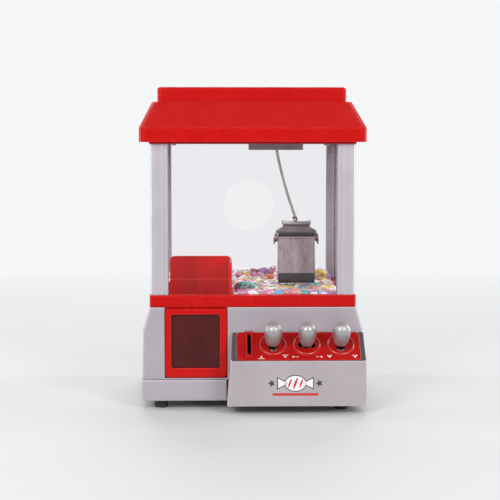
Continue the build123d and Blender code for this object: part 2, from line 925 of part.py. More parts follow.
def roof_crest():
    half_x = half + eave_overhang - slab_inset_side - crest_inset
    y0 = front - eave_overhang_front + slab_inset_front + crest_inset_front
    y1 = rear + eave_overhang_front - slab_inset_front - crest_inset_front
    outer = rounded_slab(half_x, y0, y1, slab_height, roof_top, 5.0)
    outer = fillet(outer.edges().group_by(Axis.Z)[-1], 3.5)
    inner = rounded_slab(half_x - wall, y0 + wall, y1 - wall, slab_height - 1, roof_top - wall, 2.5)
    return outer - inner


def rack_outline(low, high):
    # teeth stand up from z=0 at their root, and a space is centred on x=0
    half_tooth = 0.20 * gear_pitch
    lean = tan(radians(20))
    tip = half_tooth - addendum * lean
    root = half_tooth + dedendum * lean
    height = dedendum + addendum
    points = [(low, -1.5), (low, 0)]
    for step in range(ceil(low / gear_pitch), int(high / gear_pitch)):
        x = (step + 0.5) * gear_pitch
        points += [(x - root, 0), (x - tip, height), (x + tip, height), (x + root, 0)]
    return points + [(high, 0), (high, -1.5)]


def gear_outline():
    half_tooth = 0.20 * gear_pitch
    points = []
    for step in range(gear_teeth):
        angle = 2 * pi * step / gear_teeth
        for across, out in (
            (-half_tooth * 1.1, -dedendum), (-half_tooth, 0), (-half_tooth * 0.5, addendum),
            (half_tooth * 0.5, addendum), (half_tooth, 0), (half_tooth * 1.1, -dedendum),
        ):
            radius = gear_radius + out
            x = radius * cos(angle) - across * sin(angle)
            points.append((x, radius * sin(angle) + across * cos(angle)))
    return points


def side_rails():
    rails = []
    shaft_y = bridge_y + drive_shaft_offset
    teeth = rack_outline(-side_rack_reach, side_rack_reach)
    for side in (-1, 1):
        x0, x1 = sorted((side * (inner_half - rail_width), side * inner_half))
        base = block(x0, x1, inner_front + 2.2, inner_rear - 2.2, rail_bottom, rail_top)
        r0, r1 = sorted((side * (inner_half - 5.6), side * (inner_half - 0.6)))
        rack = across_x([(shaft_y + y, rail_top + 1.5 + z) for y, z in teeth], r0, r1)
        rails.append(base + rack)
    return rails


def bridge_frame():
    y0 = bridge_y - 26
    y1 = bridge_y + 29
    frame = None
    for side in (-1, 1):
        x0, x1 = sorted((side * end_plate_face, side * (end_plate_face + end_plate_thickness)))
        plate = block(x0, x1, y0, y1, rod_z_place - 4, end_plate_top)
        plate = fillet(plate.edges().filter_by(Axis.X), 3.0)
        for y in (y0, y1 - 9):
            s0, s1 = sorted((side * (end_plate_face + end_plate_thickness), side * (inner_half - 6.5)))
            plate += block(s0, s1, y, y + 9, rail_top + soft_clearance, rail_top + 4.3)
        frame = plate if frame is None else frame + plate
    root_z = cross_rack_pitch_z + dedendum
    teeth = rack_outline(-end_plate_face + 3 - cross_pinion_x, end_plate_face - 3 - cross_pinion_x)
    points = [(cross_pinion_x + x, root_z - z) for x, z in teeth]
    rack = along_y(points, cross_rack_y - gear_width / 2, cross_rack_y + gear_width / 2)
    spine = block(
        -end_plate_face, end_plate_face, cross_rack_y - gear_width / 2, cross_rack_y + gear_width / 2,
        root_z, root_z + 3,
    )
    frame = frame + spine + rack
    for y in rod_lines():
        frame -= rod_x(rod_radius + 0.02, -end_plate_face - 6, end_plate_face + 6, y, rod_z_place)
    shaft = bridge_y + drive_shaft_offset
    bore = rod_radius + running_clearance
    return frame - rod_x(bore, -end_plate_face - 6, end_plate_face + 6, shaft, shaft_z)


def rod_lines():
    return (bridge_y - 16.0, bridge_y + 13.5)


def bridge_rods():
    reach = end_plate_face + end_plate_thickness
    return [rod_x(rod_radius, -reach, reach, y, rod_z_place) for y in rod_lines()]


def drive_shaft():
    reach = inner_half - 0.4
    return rod_x(rod_radius, -reach, reach, bridge_y + drive_shaft_offset, shaft_z)


def drive_pinions():
    pinions = []
    for side in (-1, 1):
        r0, r1 = sorted((side * (inner_half - 5.4), side * (inner_half - 0.8)))
        points = gear_outline()
        shaft_y = bridge_y + drive_shaft_offset
        # a tooth points straight down into the rack
        turned = [(shaft_y + y, shaft_z - x) for x, y in points]
        gear = across_x(turned, r0, r1)
        gear -= rod_x(rod_radius + 0.02, r0 - 1, r1 + 1, shaft_y, shaft_z)
        pinions.append(gear)
    return pinions


def bridge_motor():
    y = bridge_y + drive_shaft_offset
    x1 = -end_plate_face + 14
    box = block(-end_plate_face, x1, y - 8.5, y + 6, shaft_z - 6.4, shaft_z + 9)
    can = rod_y(6.0, y - 8.5 - 14, y - 8.5, -end_plate_face + 7, shaft_z + 2.0)
    return box + can - rod_x(rod_radius + running_clearance, -end_plate_face - 1, x1 + 1, y, shaft_z)


def carriage_housing():
    x0 = carriage_x - carriage_width / 2
    x1 = carriage_x + carriage_width / 2
    y0 = bridge_y - carriage_front
    y1 = bridge_y + carriage_rear
    outer = block(x0, x1, y0, y1, carriage_bottom, carriage_bottom + 15)
    outer = fillet(outer.edges().filter_by(Axis.Z), 2.0)
    inner = block(x0 + wall, x1 - wall, y0 + wall, y1 - wall, carriage_bottom + 3, carriage_bottom + 16)
    tray = outer - inner
    for y in (bridge_y - 9.5, bridge_y + 7.5):
        tray += block(winch_x - 6, winch_x + 6, y, y + 2, carriage_bottom + 3, winch_z + 4)
    post = block(cross_pinion_x - 6, cross_pinion_x + 6, bridge_y - 9.5, bridge_y - 7.5, carriage_bottom + 3,
                 cross_pinion_z + 4)
    tray += post
    tray -= rod_y(1.5 + running_clearance, y0 - 1, bridge_y + 12, winch_x, winch_z)
    tray -= rod_y(1.5 + running_clearance, y0 - 1, bridge_y - 7, cross_pinion_x, cross_pinion_z)
    for y in rod_lines():
        tray -= rod_x(rod_radius + running_clearance, x0 - 1, x1 + 1, y, rod_z_place)
    bottom = carriage_bottom
    slot = block(exit_x - 4.5, exit_x + 4.5, bridge_y - 3, bridge_y + 3, bottom - 1, bottom + 4)
    return tray - fillet(slot.edges().filter_by(Axis.Z), 2.0)


def winch_drum():
    y0, y1 = bridge_y - drum_half_length, bridge_y + drum_half_length
    core = rod_y(drum_core_radius, y0, y1, winch_x, winch_z)
    for end in (-1, 1):
        y = bridge_y + end * drum_half_length
        y0, y1 = sorted((y, y - end * 1.5))
        core += rod_y(drum_flange_radius, y0, y1, winch_x, winch_z)
    axle = rod_y(1.5, bridge_y - 10.5, bridge_y + 9.4, winch_x, winch_z)
    return core + axle


def winch_motor():
    y0 = bridge_y + 9.5
    can = rod_y(6.8, y0, y0 + 7.3, winch_x, winch_z + 0.5)
    return can - rod_y(1.5 + running_clearance, y0 - 1, y0 + 0.3, winch_x, winch_z)


def cross_pinion():
    points = gear_outline()
    y0 = cross_rack_y - gear_width / 2 + 0.1
    y1 = cross_rack_y + gear_width / 2 - 0.1
    # a tooth points straight up into the rack
    turned = [(cross_pinion_x + y, cross_pinion_z + x) for x, y in points]
    gear = along_y(turned, y0, y1)
    return gear + rod_y(1.5, y0 - 1.5, bridge_y - 7.6, cross_pinion_x, cross_pinion_z)


def cross_motor():
    y0 = bridge_y - 7.5
    can = rod_y(7.5, y0, y0 + 18, cross_pinion_x, cross_pinion_z)
    return can + rod_y(3, y0 + 18, y0 + 20, cross_pinion_x, cross_pinion_z)


def chain():
    a = Vector(chain_top_x, bridge_y, chain_top_z)
    b = Vector(hook_x, bridge_y, hook_z)
    across = Vector(cos(chain_slope), 0, sin(chain_slope))
    mid = (a + b) * 0.5 - across * chain_bow
    path = ThreePointArc(a, mid, b)
    start = Plane(origin=path @ 0, z_dir=path % 0)
    return sweep(start * Circle(chain_radius), path)


def claw_hook():
    z = hook_z - soft_clearance - 0.3 - hook_ring_radius - hook_wire
    ring = Pos(hook_x, claw_y, z) * Rot(90, 0, 0) * Torus(hook_ring_radius, hook_wire)
    stem = rod_z(1.4, head_top, z - hook_ring_radius + 0.3, hook_x, claw_y)
    return ring + stem


def claw_head():
    bar_half = 17.2
    cheek_half = claw_width / 2 + 2.3
    cheek_top = jaw_pivot_z + 7
    top = block(claw_x - bar_half, claw_x + bar_half, claw_y - 9, claw_y + 9, head_top - 3.4, head_top)
    skirt = block(
        claw_x - bar_half + 1, claw_x + bar_half - 1, claw_y - 7, claw_y + 7,
        head_top - 5.7, head_top - 3.4,
    )
    roof = along_y(
        [
            (claw_x - bar_half + 2, head_top - 5.7), (claw_x + bar_half - 2, head_top - 5.7),
            (claw_x + cheek_half, cheek_top + 1.5), (claw_x + cheek_half, cheek_top - 0.4),
            (claw_x - cheek_half, cheek_top - 0.4), (claw_x - cheek_half, cheek_top + 1.5),
        ],
        claw_y - 8, claw_y + 8,
    )
    head = top + skirt + roof
    for side in (-1, 1):
        near, far = sorted((claw_x + side * (cheek_half - 1.6), claw_x + side * cheek_half))
        head += across_x(
            [
                (claw_y - 8, cheek_top), (claw_y - 10, jaw_pivot_z), (claw_y - 8, jaw_pivot_z - 4),
                (claw_y + 8, jaw_pivot_z - 4), (claw_y + 10, jaw_pivot_z), (claw_y + 8, cheek_top),
            ],
            near, far,
        )
    for y in (claw_y - jaw_pivot_offset, claw_y + jaw_pivot_offset):
        head -= rod_x(jaw_pin_radius + 0.02, claw_x - 40, claw_x + 40, y, jaw_pivot_z)
    return head


def claw_pins():
    reach = claw_width / 2 + 4.3
    return [
        rod_x(jaw_pin_radius, claw_x - reach, claw_x + reach, claw_y + side * jaw_pivot_offset, jaw_pivot_z)
        for side in (-1, 1)
    ]


def claw_springs():
    springs = []
    start = claw_width / 2 + 2.5
    for side in (-1, 1):
        for across in (-1, 1):
            ring = rod_x(3.0, start, start + 1.6, 0, 0)
            ring -= rod_x(jaw_pin_radius + 0.05, start - 1, start + 3, 0, 0)
            place = Pos(claw_x, claw_y + across * jaw_pivot_offset, jaw_pivot_z)
            springs.append(place * Rot(0, 0, 0 if side > 0 else 180) * ring)
    return springs


def jaw_profile(inset):
    # half of the closed scoop: y grows outwards from the middle, z is height
    lip = 0.3
    top = jaw_pivot_z + 1.0
    return [
        (lip, claw_bottom + inset * 1.9),
        (jaw_belly - 5.5 - inset * 0.6, claw_bottom + 4.6 + inset),
        (jaw_belly - inset, claw_bottom + 14.0 + inset * 0.3),
        (jaw_pivot_offset + 2.6 - inset, top - 2.0),
        (jaw_pivot_offset - 1.0, top - 2.0),
        (lip, jaw_pivot_z - 14),
    ]


def jaw(direction):
    half_x = claw_width / 2
    points = [(claw_y + direction * y, z) for y, z in jaw_profile(0)]
    outer = across_x(points, claw_x - half_x, claw_x + half_x)
    hollow = [(claw_y + direction * y, z) for y, z in [(-2, claw_bottom + 2.3)] + jaw_profile(jaw_sheet)]
    hollow[-1] = (claw_y - direction * 2, jaw_pivot_z - 14)
    hollow[-2] = (claw_y + direction * (jaw_pivot_offset - 1.0 - jaw_sheet), jaw_pivot_z - 3)
    inner = across_x(hollow, claw_x - half_x + jaw_sheet, claw_x + half_x - jaw_sheet)
    scoop = outer - inner
    y = claw_y + direction * jaw_pivot_offset
    barrel = rod_x(2.6, claw_x - half_x, claw_x + half_x, y, jaw_pivot_z)
    bore = jaw_pin_radius + running_clearance
    return scoop + barrel - rod_x(bore, claw_x - 40, claw_x + 40, y, jaw_pivot_z)


def sweets_bed():
    x1 = inner_half - 1.0
    y0 = inner_front + 1.0
    y1 = inner_rear - 1.0
    z0 = rim_bottom + soft_clearance
    heap = across_x(
        [(y0, z0), (y1, z0), (y1, sweets_top + sweets_heap), (y1 - 2, sweets_top + sweets_heap),
         (y1 - 17, sweets_top), (y0, sweets_top)],
        -x1, x1,
    )
    heap -= block(-x1 - 1, guard_right + 0.5, y0 - 1, front + guard_depth + 0.5, z0 - 1, 200)
    for side in (-1, 1):
        a0, a1 = sorted((side * (half - front_pillar_width - 0.6), side * (half + 1)))
        b0, b1 = sorted((side * (half - rear_pillar_width - 0.6), side * (half + 1)))
        heap -= block(a0, a1, y0 - 1, front + pillar_depth + 0.6, window_bottom - 0.5, 200)
        heap -= block(b0, b1, rear - pillar_depth - 2.6, y1 + 1, window_bottom - 0.5, 200)
    return heap


def both_sides(end):
    return [pillar(side, end) for side in (-1, 1)]


def side_windows():
    return [window_pane("left", 0, 0), window_pane("right", 0, 0)]


parts = {
    "base_housing": base_housing,
    "base_plinth": base_plinth,
    "feet": feet,
    "screws": lambda: base_screws() + pillar_screws(),
    "battery_box": battery_box,
    "battery_cells": battery_cells,
    "battery_contacts": battery_contacts,
    "battery_door": battery_door,
    "speaker": speaker,
    "main_board": main_board,
    "power_switch": power_switch,
    "power_slider": power_slider,
    "control_box": control_box,
    "control_panel": control_panel,
    "coin_block": coin_block,
    "coin_way": coin_way,
    "coin_lever": coin_lever,
    "coin_switch": coin_switch,
    "coin_bin": coin_bin,
    "stick_brackets": lambda: stick_brackets() + stick_pins(),
    "stick_springs": stick_springs,
    "stick_board": lambda: [stick_board()] + stick_switches(),
    "door_frame": door_frame,
    "flap_rod": flap_rod,
    "prize_flap": prize_flap,
    "prize_chute": prize_chute,
    "playfield_deck": playfield_deck,
    "chute_guard": chute_guard,
    "sweets_bed": sweets_bed,
    "rim_frame": rim_frame,
    "front_pillars": lambda: both_sides("front"),
    "rear_pillars": lambda: both_sides("rear"),
    "front_window": lambda: window_pane("front", 0, 0),
    "side_windows": side_windows,
    "rear_window": rear_window,
    "roof_collar": roof_collar,
    "roof_cap": roof_cap,
    "roof_crest": roof_crest,
    "side_rails": side_rails,
    "bridge_frame": bridge_frame,
    "bridge_rods": bridge_rods,
    "bridge_motor": bridge_motor,
    "drive_shaft": lambda: [drive_shaft()] + drive_pinions(),
    "carriage_housing": carriage_housing,
    "carriage_motors": lambda: [cross_motor(), winch_motor()],
    "cross_pinion": cross_pinion,
    "winch_drum": winch_drum,
    "chain": chain,
    "claw_hook": claw_hook,
    "claw_head": claw_head,
    "claw_pins": claw_pins,
    "claw_springs": claw_springs,
    "front_jaw": lambda: jaw(-1),
    "rear_jaw": lambda: jaw(1),
}
for number in range(3):
    parts["stick_lever_" + str(number + 1)] = lambda index=number: stick_lever(index)
    parts["stick_knob_" + str(number + 1)] = lambda index=number: stick_knob(index)


def write(name, shape):
    if isinstance(shape, list):
        shape = Compound(children=shape)
    export_step(shape, "parts/" + name + ".step")


os.makedirs("parts", exist_ok=True)
for name, make in parts.items():
    write(name, make())
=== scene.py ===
import json
import math
import random

import bmesh
import bpy
from mathutils import Matrix, Vector


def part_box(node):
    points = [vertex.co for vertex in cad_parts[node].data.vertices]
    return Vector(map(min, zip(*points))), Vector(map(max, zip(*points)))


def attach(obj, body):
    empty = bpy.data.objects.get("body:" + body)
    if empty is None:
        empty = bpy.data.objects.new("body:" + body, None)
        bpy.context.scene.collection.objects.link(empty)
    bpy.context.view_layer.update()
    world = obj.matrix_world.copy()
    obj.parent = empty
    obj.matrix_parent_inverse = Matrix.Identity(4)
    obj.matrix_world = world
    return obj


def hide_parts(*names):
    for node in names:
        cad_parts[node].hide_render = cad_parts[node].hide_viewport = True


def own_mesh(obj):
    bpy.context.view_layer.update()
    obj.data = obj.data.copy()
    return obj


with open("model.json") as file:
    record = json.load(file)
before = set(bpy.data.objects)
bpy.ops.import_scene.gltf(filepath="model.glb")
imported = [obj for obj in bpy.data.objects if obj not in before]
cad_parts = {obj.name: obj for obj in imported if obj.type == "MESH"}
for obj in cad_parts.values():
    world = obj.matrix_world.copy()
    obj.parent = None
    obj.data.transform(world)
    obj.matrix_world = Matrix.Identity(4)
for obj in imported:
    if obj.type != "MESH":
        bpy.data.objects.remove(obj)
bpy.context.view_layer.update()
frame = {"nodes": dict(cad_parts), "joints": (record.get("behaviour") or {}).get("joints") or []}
nodes = frame["nodes"]
joints = {joint["name"]: joint for joint in frame["joints"]}
mm = 0.001
print("frame loaded,", len(nodes), "nodes")


# the camera stands in front of the pillars and looks slightly down
cameraSizes = {"x": -0.039, "away": 1.5, "height": 0.3036, "lens": 94.33, "yaw": 1.361, "pitch": 4.57}


def setCamera(sizes):
    data = bpy.data.cameras.new("camera")
    data.lens = sizes["lens"]
    data.sensor_width = 36
    camera = bpy.data.objects.new("camera", data)
    bpy.context.scene.collection.objects.link(camera)
    camera.location = (sizes["x"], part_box("front_pillars")[0].y - sizes["away"], sizes["height"])
    camera.rotation_euler = (math.radians(90 - sizes["pitch"]), 0, -math.radians(sizes["yaw"]))
    bpy.context.scene.camera = camera


setCamera(cameraSizes)
print("camera set")


class Wire:
    # one socket of a shader, which can stand in a sum
    def __init__(self, finish, socket):
        self.finish = finish
        self.socket = socket

    def work(self, operation, first, second):
        return self.finish.node("Math", {"operation": operation}, {0: first, 1: second})

    def __add__(self, other):
        return self.work("ADD", self, other)

    def __sub__(self, other):
        return self.work("SUBTRACT", self, other)

    def __rsub__(self, other):
        return self.work("SUBTRACT", other, self)

    def __mul__(self, other):
        return self.work("MULTIPLY", self, other)

    def __gt__(self, other):
        return self.work("GREATER_THAN", self, other)

    def __lt__(self, other):
        return self.work("LESS_THAN", self, other)

    __radd__ = __add__
    __rmul__ = __mul__


class Finish:
    # a material, and the nodes that make it
    def __init__(self, name):
        self.material = bpy.data.materials.new(name)
        self.material.use_nodes = True
        self.tree = self.material.node_tree
        self.tree.nodes.clear()
        self.spot = self.node("TexCoord", output="Object")

    def node(self, kind, settings=None, sockets=None, output=0):
        made = self.tree.nodes.new("ShaderNode" + kind)
        for name, value in (settings or {}).items():
            setattr(made, name, value)
        for name, value in (sockets or {}).items():
            if isinstance(value, Wire):
                self.tree.links.new(value.socket, made.inputs[name])
            else:
                made.inputs[name].default_value = value
        return Wire(self, made.outputs[output])

    def grain(self, scale, detail, stretch=(1, 1, 1)):
        # soft noise, whose scale is in lumps to the metre
        spot = self.node("Mapping", None, {"Vector": self.spot, "Scale": stretch})
        sockets = {"Vector": spot, "Scale": scale, "Detail": detail}
        return self.node("TexNoise", None, sockets)

    def mixed(self, share, first, second):
        first = first if isinstance(first, Wire) else (*first, 1)
        second = second if isinstance(second, Wire) else (*second, 1)
        return self.node("Mix", {"data_type": "RGBA"}, {0: share, 6: first, 7: second}, 2)

    def step(self, value, low, high):
        # 0 below low, 1 above high
        return self.node("MapRange", None, {"Value": value, "From Min": low, "From Max": high})

    def along(self, axis):
        return self.node("SeparateXYZ", None, {0: self.spot}, "XYZ".index(axis))

    def bump(self, height, depth, strength, rounded=None):
        # a rough surface, over edges that are already rounded
        sockets = {"Height": height, "Distance": depth, "Strength": strength}
        if rounded:
            sockets["Normal"] = rounded
        return self.node("Bump", None, sockets)

    def rounded(self, radius):
        # the normal of a surface whose sharp edges are broken to a small radius
        return self.node("Bevel", {"samples": 6}, {"Radius": radius})

    def rubbed(self, rounded, low=0.03, high=0.13):
        # 1 along the edges and 0 on the flats: where handling polishes them, and where a painted highlight is
        #                                       laid
        flat = self.node("NewGeometry", output="True Normal")
        same = self.node("VectorMath", {"operation": "DOT_PRODUCT"}, {0: rounded, 1: flat}, "Value")
        return self.step(1 - same, low, high)

    def skin(self, sockets):
        return self.node("BsdfPrincipled", None, sockets)

    def done(self, shader):
        end = self.tree.nodes.new("ShaderNodeOutputMaterial")
        self.tree.links.new(shader.socket, end.inputs["Surface"])
        return self.material


def silverPaint(name, dark, light, gloss, metal=0.45, slope=None):
    # satin metallic paint with a fine flake over moulded plastic
    # a slope is a painted shade: the darker tone given to faces that lean back, for the dimmer light they
    # catch
    finish = Finish(name)
    flake = finish.grain(2400, 1)
    cloud = finish.grain(22, 3)
    tone = finish.mixed(finish.step(flake * 0.6 + cloud * 0.4, 0.2, 0.8), dark, light)
    if slope:
        facing = finish.node("TexCoord", output="Normal")
        lean = finish.node("SeparateXYZ", None, {0: facing}, "XYZ".index("Z"))
        slopeShadeMask = finish.step(lean, 0.5, 0.55) * (1 - finish.step(lean, 0.9, 0.95))
        # painted shade: faces that lean back take the darker slope tone
        tone = finish.mixed(slopeShadeMask, tone, slope)
    rounded = finish.rounded(1.8 * mm)
    rub = finish.rubbed(rounded)
    return finish.done(finish.skin({
        # edges are lighter: partly wear, partly a painted highlight
        "Base Color": finish.mixed(rub * 0.85, tone, [min(0.95, part * 1.8) for part in light]),
        "Metallic": metal + flake * 0.15,
        "Roughness": gloss + cloud * 0.12 - rub * 0.08,
        "Normal": finish.bump(flake, 0.00002, 0.3, rounded),
    }))


def glossPlastic(name, dark, light, gloss):
    # shiny moulded plastic, with the soft ripple that a moulded face has and rub marks in the shine
    finish = Finish(name)
    ripple = finish.grain(38, 2)
    rub = finish.grain(160, 4, (1, 1, 0.15))
    tone = finish.mixed(finish.step(ripple, 0.3, 0.7), dark, light)
    rounded = finish.rounded(1.4 * mm)
    edge = finish.rubbed(rounded)
    return finish.done(finish.skin({
        # edges shift to a light orange-red: partly wear, partly a painted highlight
        "Base Color": finish.mixed(edge * 0.7, tone, (min(0.95, light[0] * 1.6), 0.09, 0.07)),
        "Roughness": gloss + rub * 0.09,
        "Specular IOR Level": 0.15,
        "Coat Weight": 0.03 + ripple * 0.05,
        "Coat Roughness": 0.06,
        "Normal": finish.bump(ripple, 0.00008, 0.2, rounded),
    }))


def beadPlastic(name, dark, light):
    # polished raised beads, which catch the lamps
    finish = Finish(name)
    ripple = finish.grain(120, 2)
    return finish.done(finish.skin({
        "Base Color": finish.mixed(ripple, dark, light),
        "Roughness": 0.14 + ripple * 0.06,
        "Specular IOR Level": 1.0,
        "Coat Weight": 0.8 + ripple * 0.2,
        "Coat Roughness": 0.05,
    }))


def mattPlastic(name, dark, light, rough, grainSize=900):
    # textured moulded plastic, rubber or card
    finish = Finish(name)
    grit = finish.grain(grainSize, 3)
    cloud = finish.grain(45, 2)
    return finish.done(finish.skin({
        "Base Color": finish.mixed(finish.step(grit * 0.5 + cloud * 0.5, 0.3, 0.7), dark, light),
        "Roughness": rough + cloud * 0.15,
        "Normal": finish.bump(grit, 0.00008, 0.5),
    }))


def bareMetal(name, dark, light, rough, stretch=(1, 1, 1), scale=600):
    # drawn or brushed metal, with streaks along one way
    finish = Finish(name)
    streak = finish.grain(scale, 4, stretch)
    smear = finish.grain(60, 3)
    return finish.done(finish.skin({
        "Base Color": finish.mixed(finish.step(streak * 0.6 + smear * 0.4, 0.32, 0.68), dark, light),
        "Metallic": 1.0,
        "Roughness": rough + streak * 0.2,
        "Normal": finish.bump(streak, 0.00004, 0.6),
    }))


def jawSteel(name, gripTop):
    # brushed sheet steel with a dark rubbery dip along the biting edge
    finish = Finish(name)
    streak = finish.grain(900, 3, (1, 1, 0.004))
    broad = finish.grain(160, 2, (1, 1, 0.01))
    edge = finish.grain(400, 2)
    dip = finish.along("Z") + (edge - 0.5) * 0.0006 < gripTop
    drawn = finish.step(streak * 0.5 + broad * 0.5, 0.3, 0.7)
    steel = finish.mixed(drawn, (0.24, 0.20, 0.205), (0.48, 0.415, 0.425))
    return finish.done(finish.skin({
        "Base Color": finish.mixed(dip, steel, (0.07, 0.072, 0.071)),
        "Metallic": 0.95 - dip * 0.9,
        "Roughness": 0.36 + streak * 0.16 + dip * 0.2,
        "Normal": finish.bump(streak * 0.8 + edge * dip, 0.00006, 0.6),
    }))


def clearSheet(name, tint, veil, gloss=0.05):
    # clear styrene sheet: mostly seen through, with a faint veil of rubbed places
    finish = Finish(name)
    haze = finish.grain(26, 4)
    rub = finish.grain(300, 3, (1, 1, 0.1))
    body = finish.skin({
        "Base Color": finish.mixed(haze, tint, [min(1.0, part * 1.15) for part in tint]),
        "Roughness": gloss + rub * 0.06,
        "Coat Weight": 0.3 + haze * 0.2,
        "Coat Roughness": 0.04,
    })
    through = finish.node("BsdfTransparent", None, {0: (*[0.5 + 0.5 * part for part in tint], 1)})
    glance = finish.node("LayerWeight", None, {"Blend": 0.12}, "Fresnel")
    share = finish.node("Clamp", None, {0: glance * 0.45 + veil + haze * veil * 0.5})
    return finish.done(finish.node("MixShader", None, {0: share, 1: through, 2: body}))


def smokedSheet(name):
    # dark red-brown tinted sheet of the prize flap
    finish = Finish(name)
    haze = finish.grain(30, 3)
    body = finish.skin({
        "Base Color": finish.mixed(haze, (0.085, 0.010, 0.012), (0.14, 0.017, 0.019)),
        "Roughness": 0.16 + haze * 0.12,
        "Specular IOR Level": 0.3,
        "Coat Weight": 0.15 + haze * 0.1,
        "Coat Roughness": 0.08,
    })
    through = finish.node("BsdfTransparent", None, {0: (0.5, 0.15, 0.15, 1)})
    share = 0.5 + haze * 0.2
    return finish.done(finish.node("MixShader", None, {0: share, 1: through, 2: body}))


def circuitCard(name):
    # green varnished board with fine copper tracks
    finish = Finish(name)
    grit = finish.grain(500, 2)
    layout = {"Vector": finish.spot, "Scale": 160.0, "Mortar Size": 0.03}
    tracks = finish.node("TexBrick", None, layout, "Fac")
    tone = finish.mixed(tracks, (0.012, 0.09, 0.035), (0.05, 0.17, 0.07))
    return finish.done(finish.skin({
        "Base Color": tone,
        "Roughness": 0.3 + grit * 0.15,
        "Normal": finish.bump(tracks, 0.00005, 0.5),
    }))


def cellWrap(name):
    # plastic-wrapped battery cell with a copper-coloured end band
    finish = Finish(name)
    grit = finish.grain(300, 2)
    band = finish.along("Y") < 0.04
    return finish.done(finish.skin({
        "Base Color": finish.mixed(band, (0.02, 0.02, 0.022), (0.5, 0.24, 0.08)),
        "Metallic": band * 0.7,
        "Roughness": 0.25 + grit * 0.15,
    }))


def sweetWrap(name):
    # twist-wrapped sweets: striped film over the body, clearer film at the twisted ends, and painted glints
    # of white on the film
    finish = Finish(name)
    tint = finish.node("Attribute", {"attribute_name": "tint"}, None, "Color")
    film = finish.node("Attribute", {"attribute_name": "film"}, None, "Fac")
    turn = finish.node("Attribute", {"attribute_name": "turn"}, None, "Fac")
    crinkle = finish.grain(420, 4)
    paintedGlint = finish.grain(900, 2)
    stripe = finish.node("Math", {"operation": "SINE"}, {0: turn * 18.0}) > 0.25
    white = finish.mixed(crinkle, (0.78, 0.76, 0.78), (0.97, 0.96, 0.97))
    body = finish.mixed(stripe * (1 - film) * 0.4, tint, white)
    # painted highlight: white glint specks are mixed into the colour
    tone = finish.mixed(film * 0.5 + finish.step(paintedGlint, 0.6, 0.72) * 0.3, body, white)
    return finish.done(finish.skin({
        "Base Color": tone,
        "Roughness": 0.12 + crinkle * 0.25,
        "Coat Weight": 0.5 + crinkle * 0.4,
        "Coat Roughness": 0.05,
        "Alpha": 1 - film * 0.35,
        "Normal": finish.bump(crinkle, 0.0009, 0.9),
    }))


def printInk(name, colour):
    # a thin printed or hot-stamped mark, slightly broken by the surface under it
    finish = Finish(name)
    grit = finish.grain(1200, 2)
    faded = [0.82 * part + 0.03 for part in colour]
    return finish.done(finish.skin({
        "Base Color": finish.mixed(finish.step(grit, 0.35, 0.65), faded, colour),
        "Roughness": 0.35 + grit * 0.15,
    }))


# how far up the jaws the dark dip reaches
dipHeight = 0.0135
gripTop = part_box("front_jaw")[0].z + dipHeight
finishes = {
    "silver": silverPaint("silver_paint", (0.40, 0.36, 0.395), (0.52, 0.475, 0.515), 0.4),
    # the control box's leaning faces get a painted shade through slope
    "silverBox": silverPaint(
        "control_box_paint", (0.41, 0.365, 0.385), (0.54, 0.485, 0.51), 0.38, slope=(0.12, 0.10, 0.11),
    ),
    "silverTray": silverPaint("silver_tray_paint", (0.43, 0.385, 0.43), (0.55, 0.50, 0.55), 0.42),
    "silverPost": silverPaint("front_pillar_paint", (0.48, 0.44, 0.49), (0.62, 0.58, 0.635), 0.34),
    "silverBack": silverPaint("rear_pillar_paint", (0.40, 0.355, 0.40), (0.52, 0.475, 0.52), 0.42),
    "knob": silverPaint("knob_silver", (0.37, 0.345, 0.355), (0.46, 0.44, 0.45), 0.35, 0.55),
    "red": glossPlastic("gloss_red", (0.495, 0.003, 0.003), (0.53, 0.005, 0.004), 0.22),
    # a lighter copy of the gloss red for the parts behind the sheets: painted light for the dimmer light
    # inside
    "redLitInside": glossPlastic("gloss_red_lit_inside", (0.60, 0.002, 0.002), (0.67, 0.004, 0.003), 0.2),
    "redPanel": glossPlastic("panel_red", (0.38, 0.004, 0.004), (0.46, 0.006, 0.005), 0.26),
    "redBead": beadPlastic("bead_red", (0.42, 0.008, 0.008), (0.55, 0.02, 0.018)),
    "clear": clearSheet("clear_sheet", (0.945, 0.92, 0.945), 0.006),
    "clearBack": clearSheet("clear_rear_sheet", (0.965, 0.96, 0.965), 0.005),
    "smoked": smokedSheet("smoked_sheet"),
    "rubber": mattPlastic("black_rubber", (0.012, 0.012, 0.013), (0.03, 0.03, 0.032), 0.6),
    "black": mattPlastic("black_plastic", (0.015, 0.015, 0.016), (0.035, 0.035, 0.037), 0.42),
    "grey": mattPlastic("grey_plastic", (0.33, 0.32, 0.36), (0.44, 0.43, 0.475), 0.42),
    "white": mattPlastic("white_nylon", (0.68, 0.67, 0.63), (0.82, 0.81, 0.77), 0.4),
    "steel": bareMetal("bright_steel", (0.42, 0.42, 0.43), (0.68, 0.68, 0.69), 0.22),
    "chain": bareMetal("chain_steel", (0.10, 0.072, 0.06), (0.56, 0.47, 0.42), 0.24),
    "head": bareMetal("claw_head_steel", (0.15, 0.12, 0.12), (0.36, 0.31, 0.31), 0.34, (0.05, 1, 1)),
    "trim": bareMetal("claw_trim_steel", (0.26, 0.24, 0.245), (0.60, 0.57, 0.58), 0.3, (0.05, 1, 1)),
    "coil": bareMetal("claw_coil_steel", (0.07, 0.06, 0.06), (0.42, 0.38, 0.37), 0.26),
    "jaw": jawSteel("claw_jaw_steel", gripTop),
    "can": bareMetal("motor_can", (0.38, 0.38, 0.4), (0.6, 0.6, 0.62), 0.3, (1, 1, 0.1)),
    "card": circuitCard("circuit_card"),
    "cell": cellWrap("cell_wrap"),
    "sweet": sweetWrap("sweet_wrap"),
    "inkWhite": printInk("ink_white", (0.85, 0.84, 0.85)),
    "inkBlack": printInk("ink_black", (0.02, 0.02, 0.022)),
    "inkRed": printInk("ink_red", (0.6, 0.01, 0.012)),
}
print("finishes made,", len(finishes))

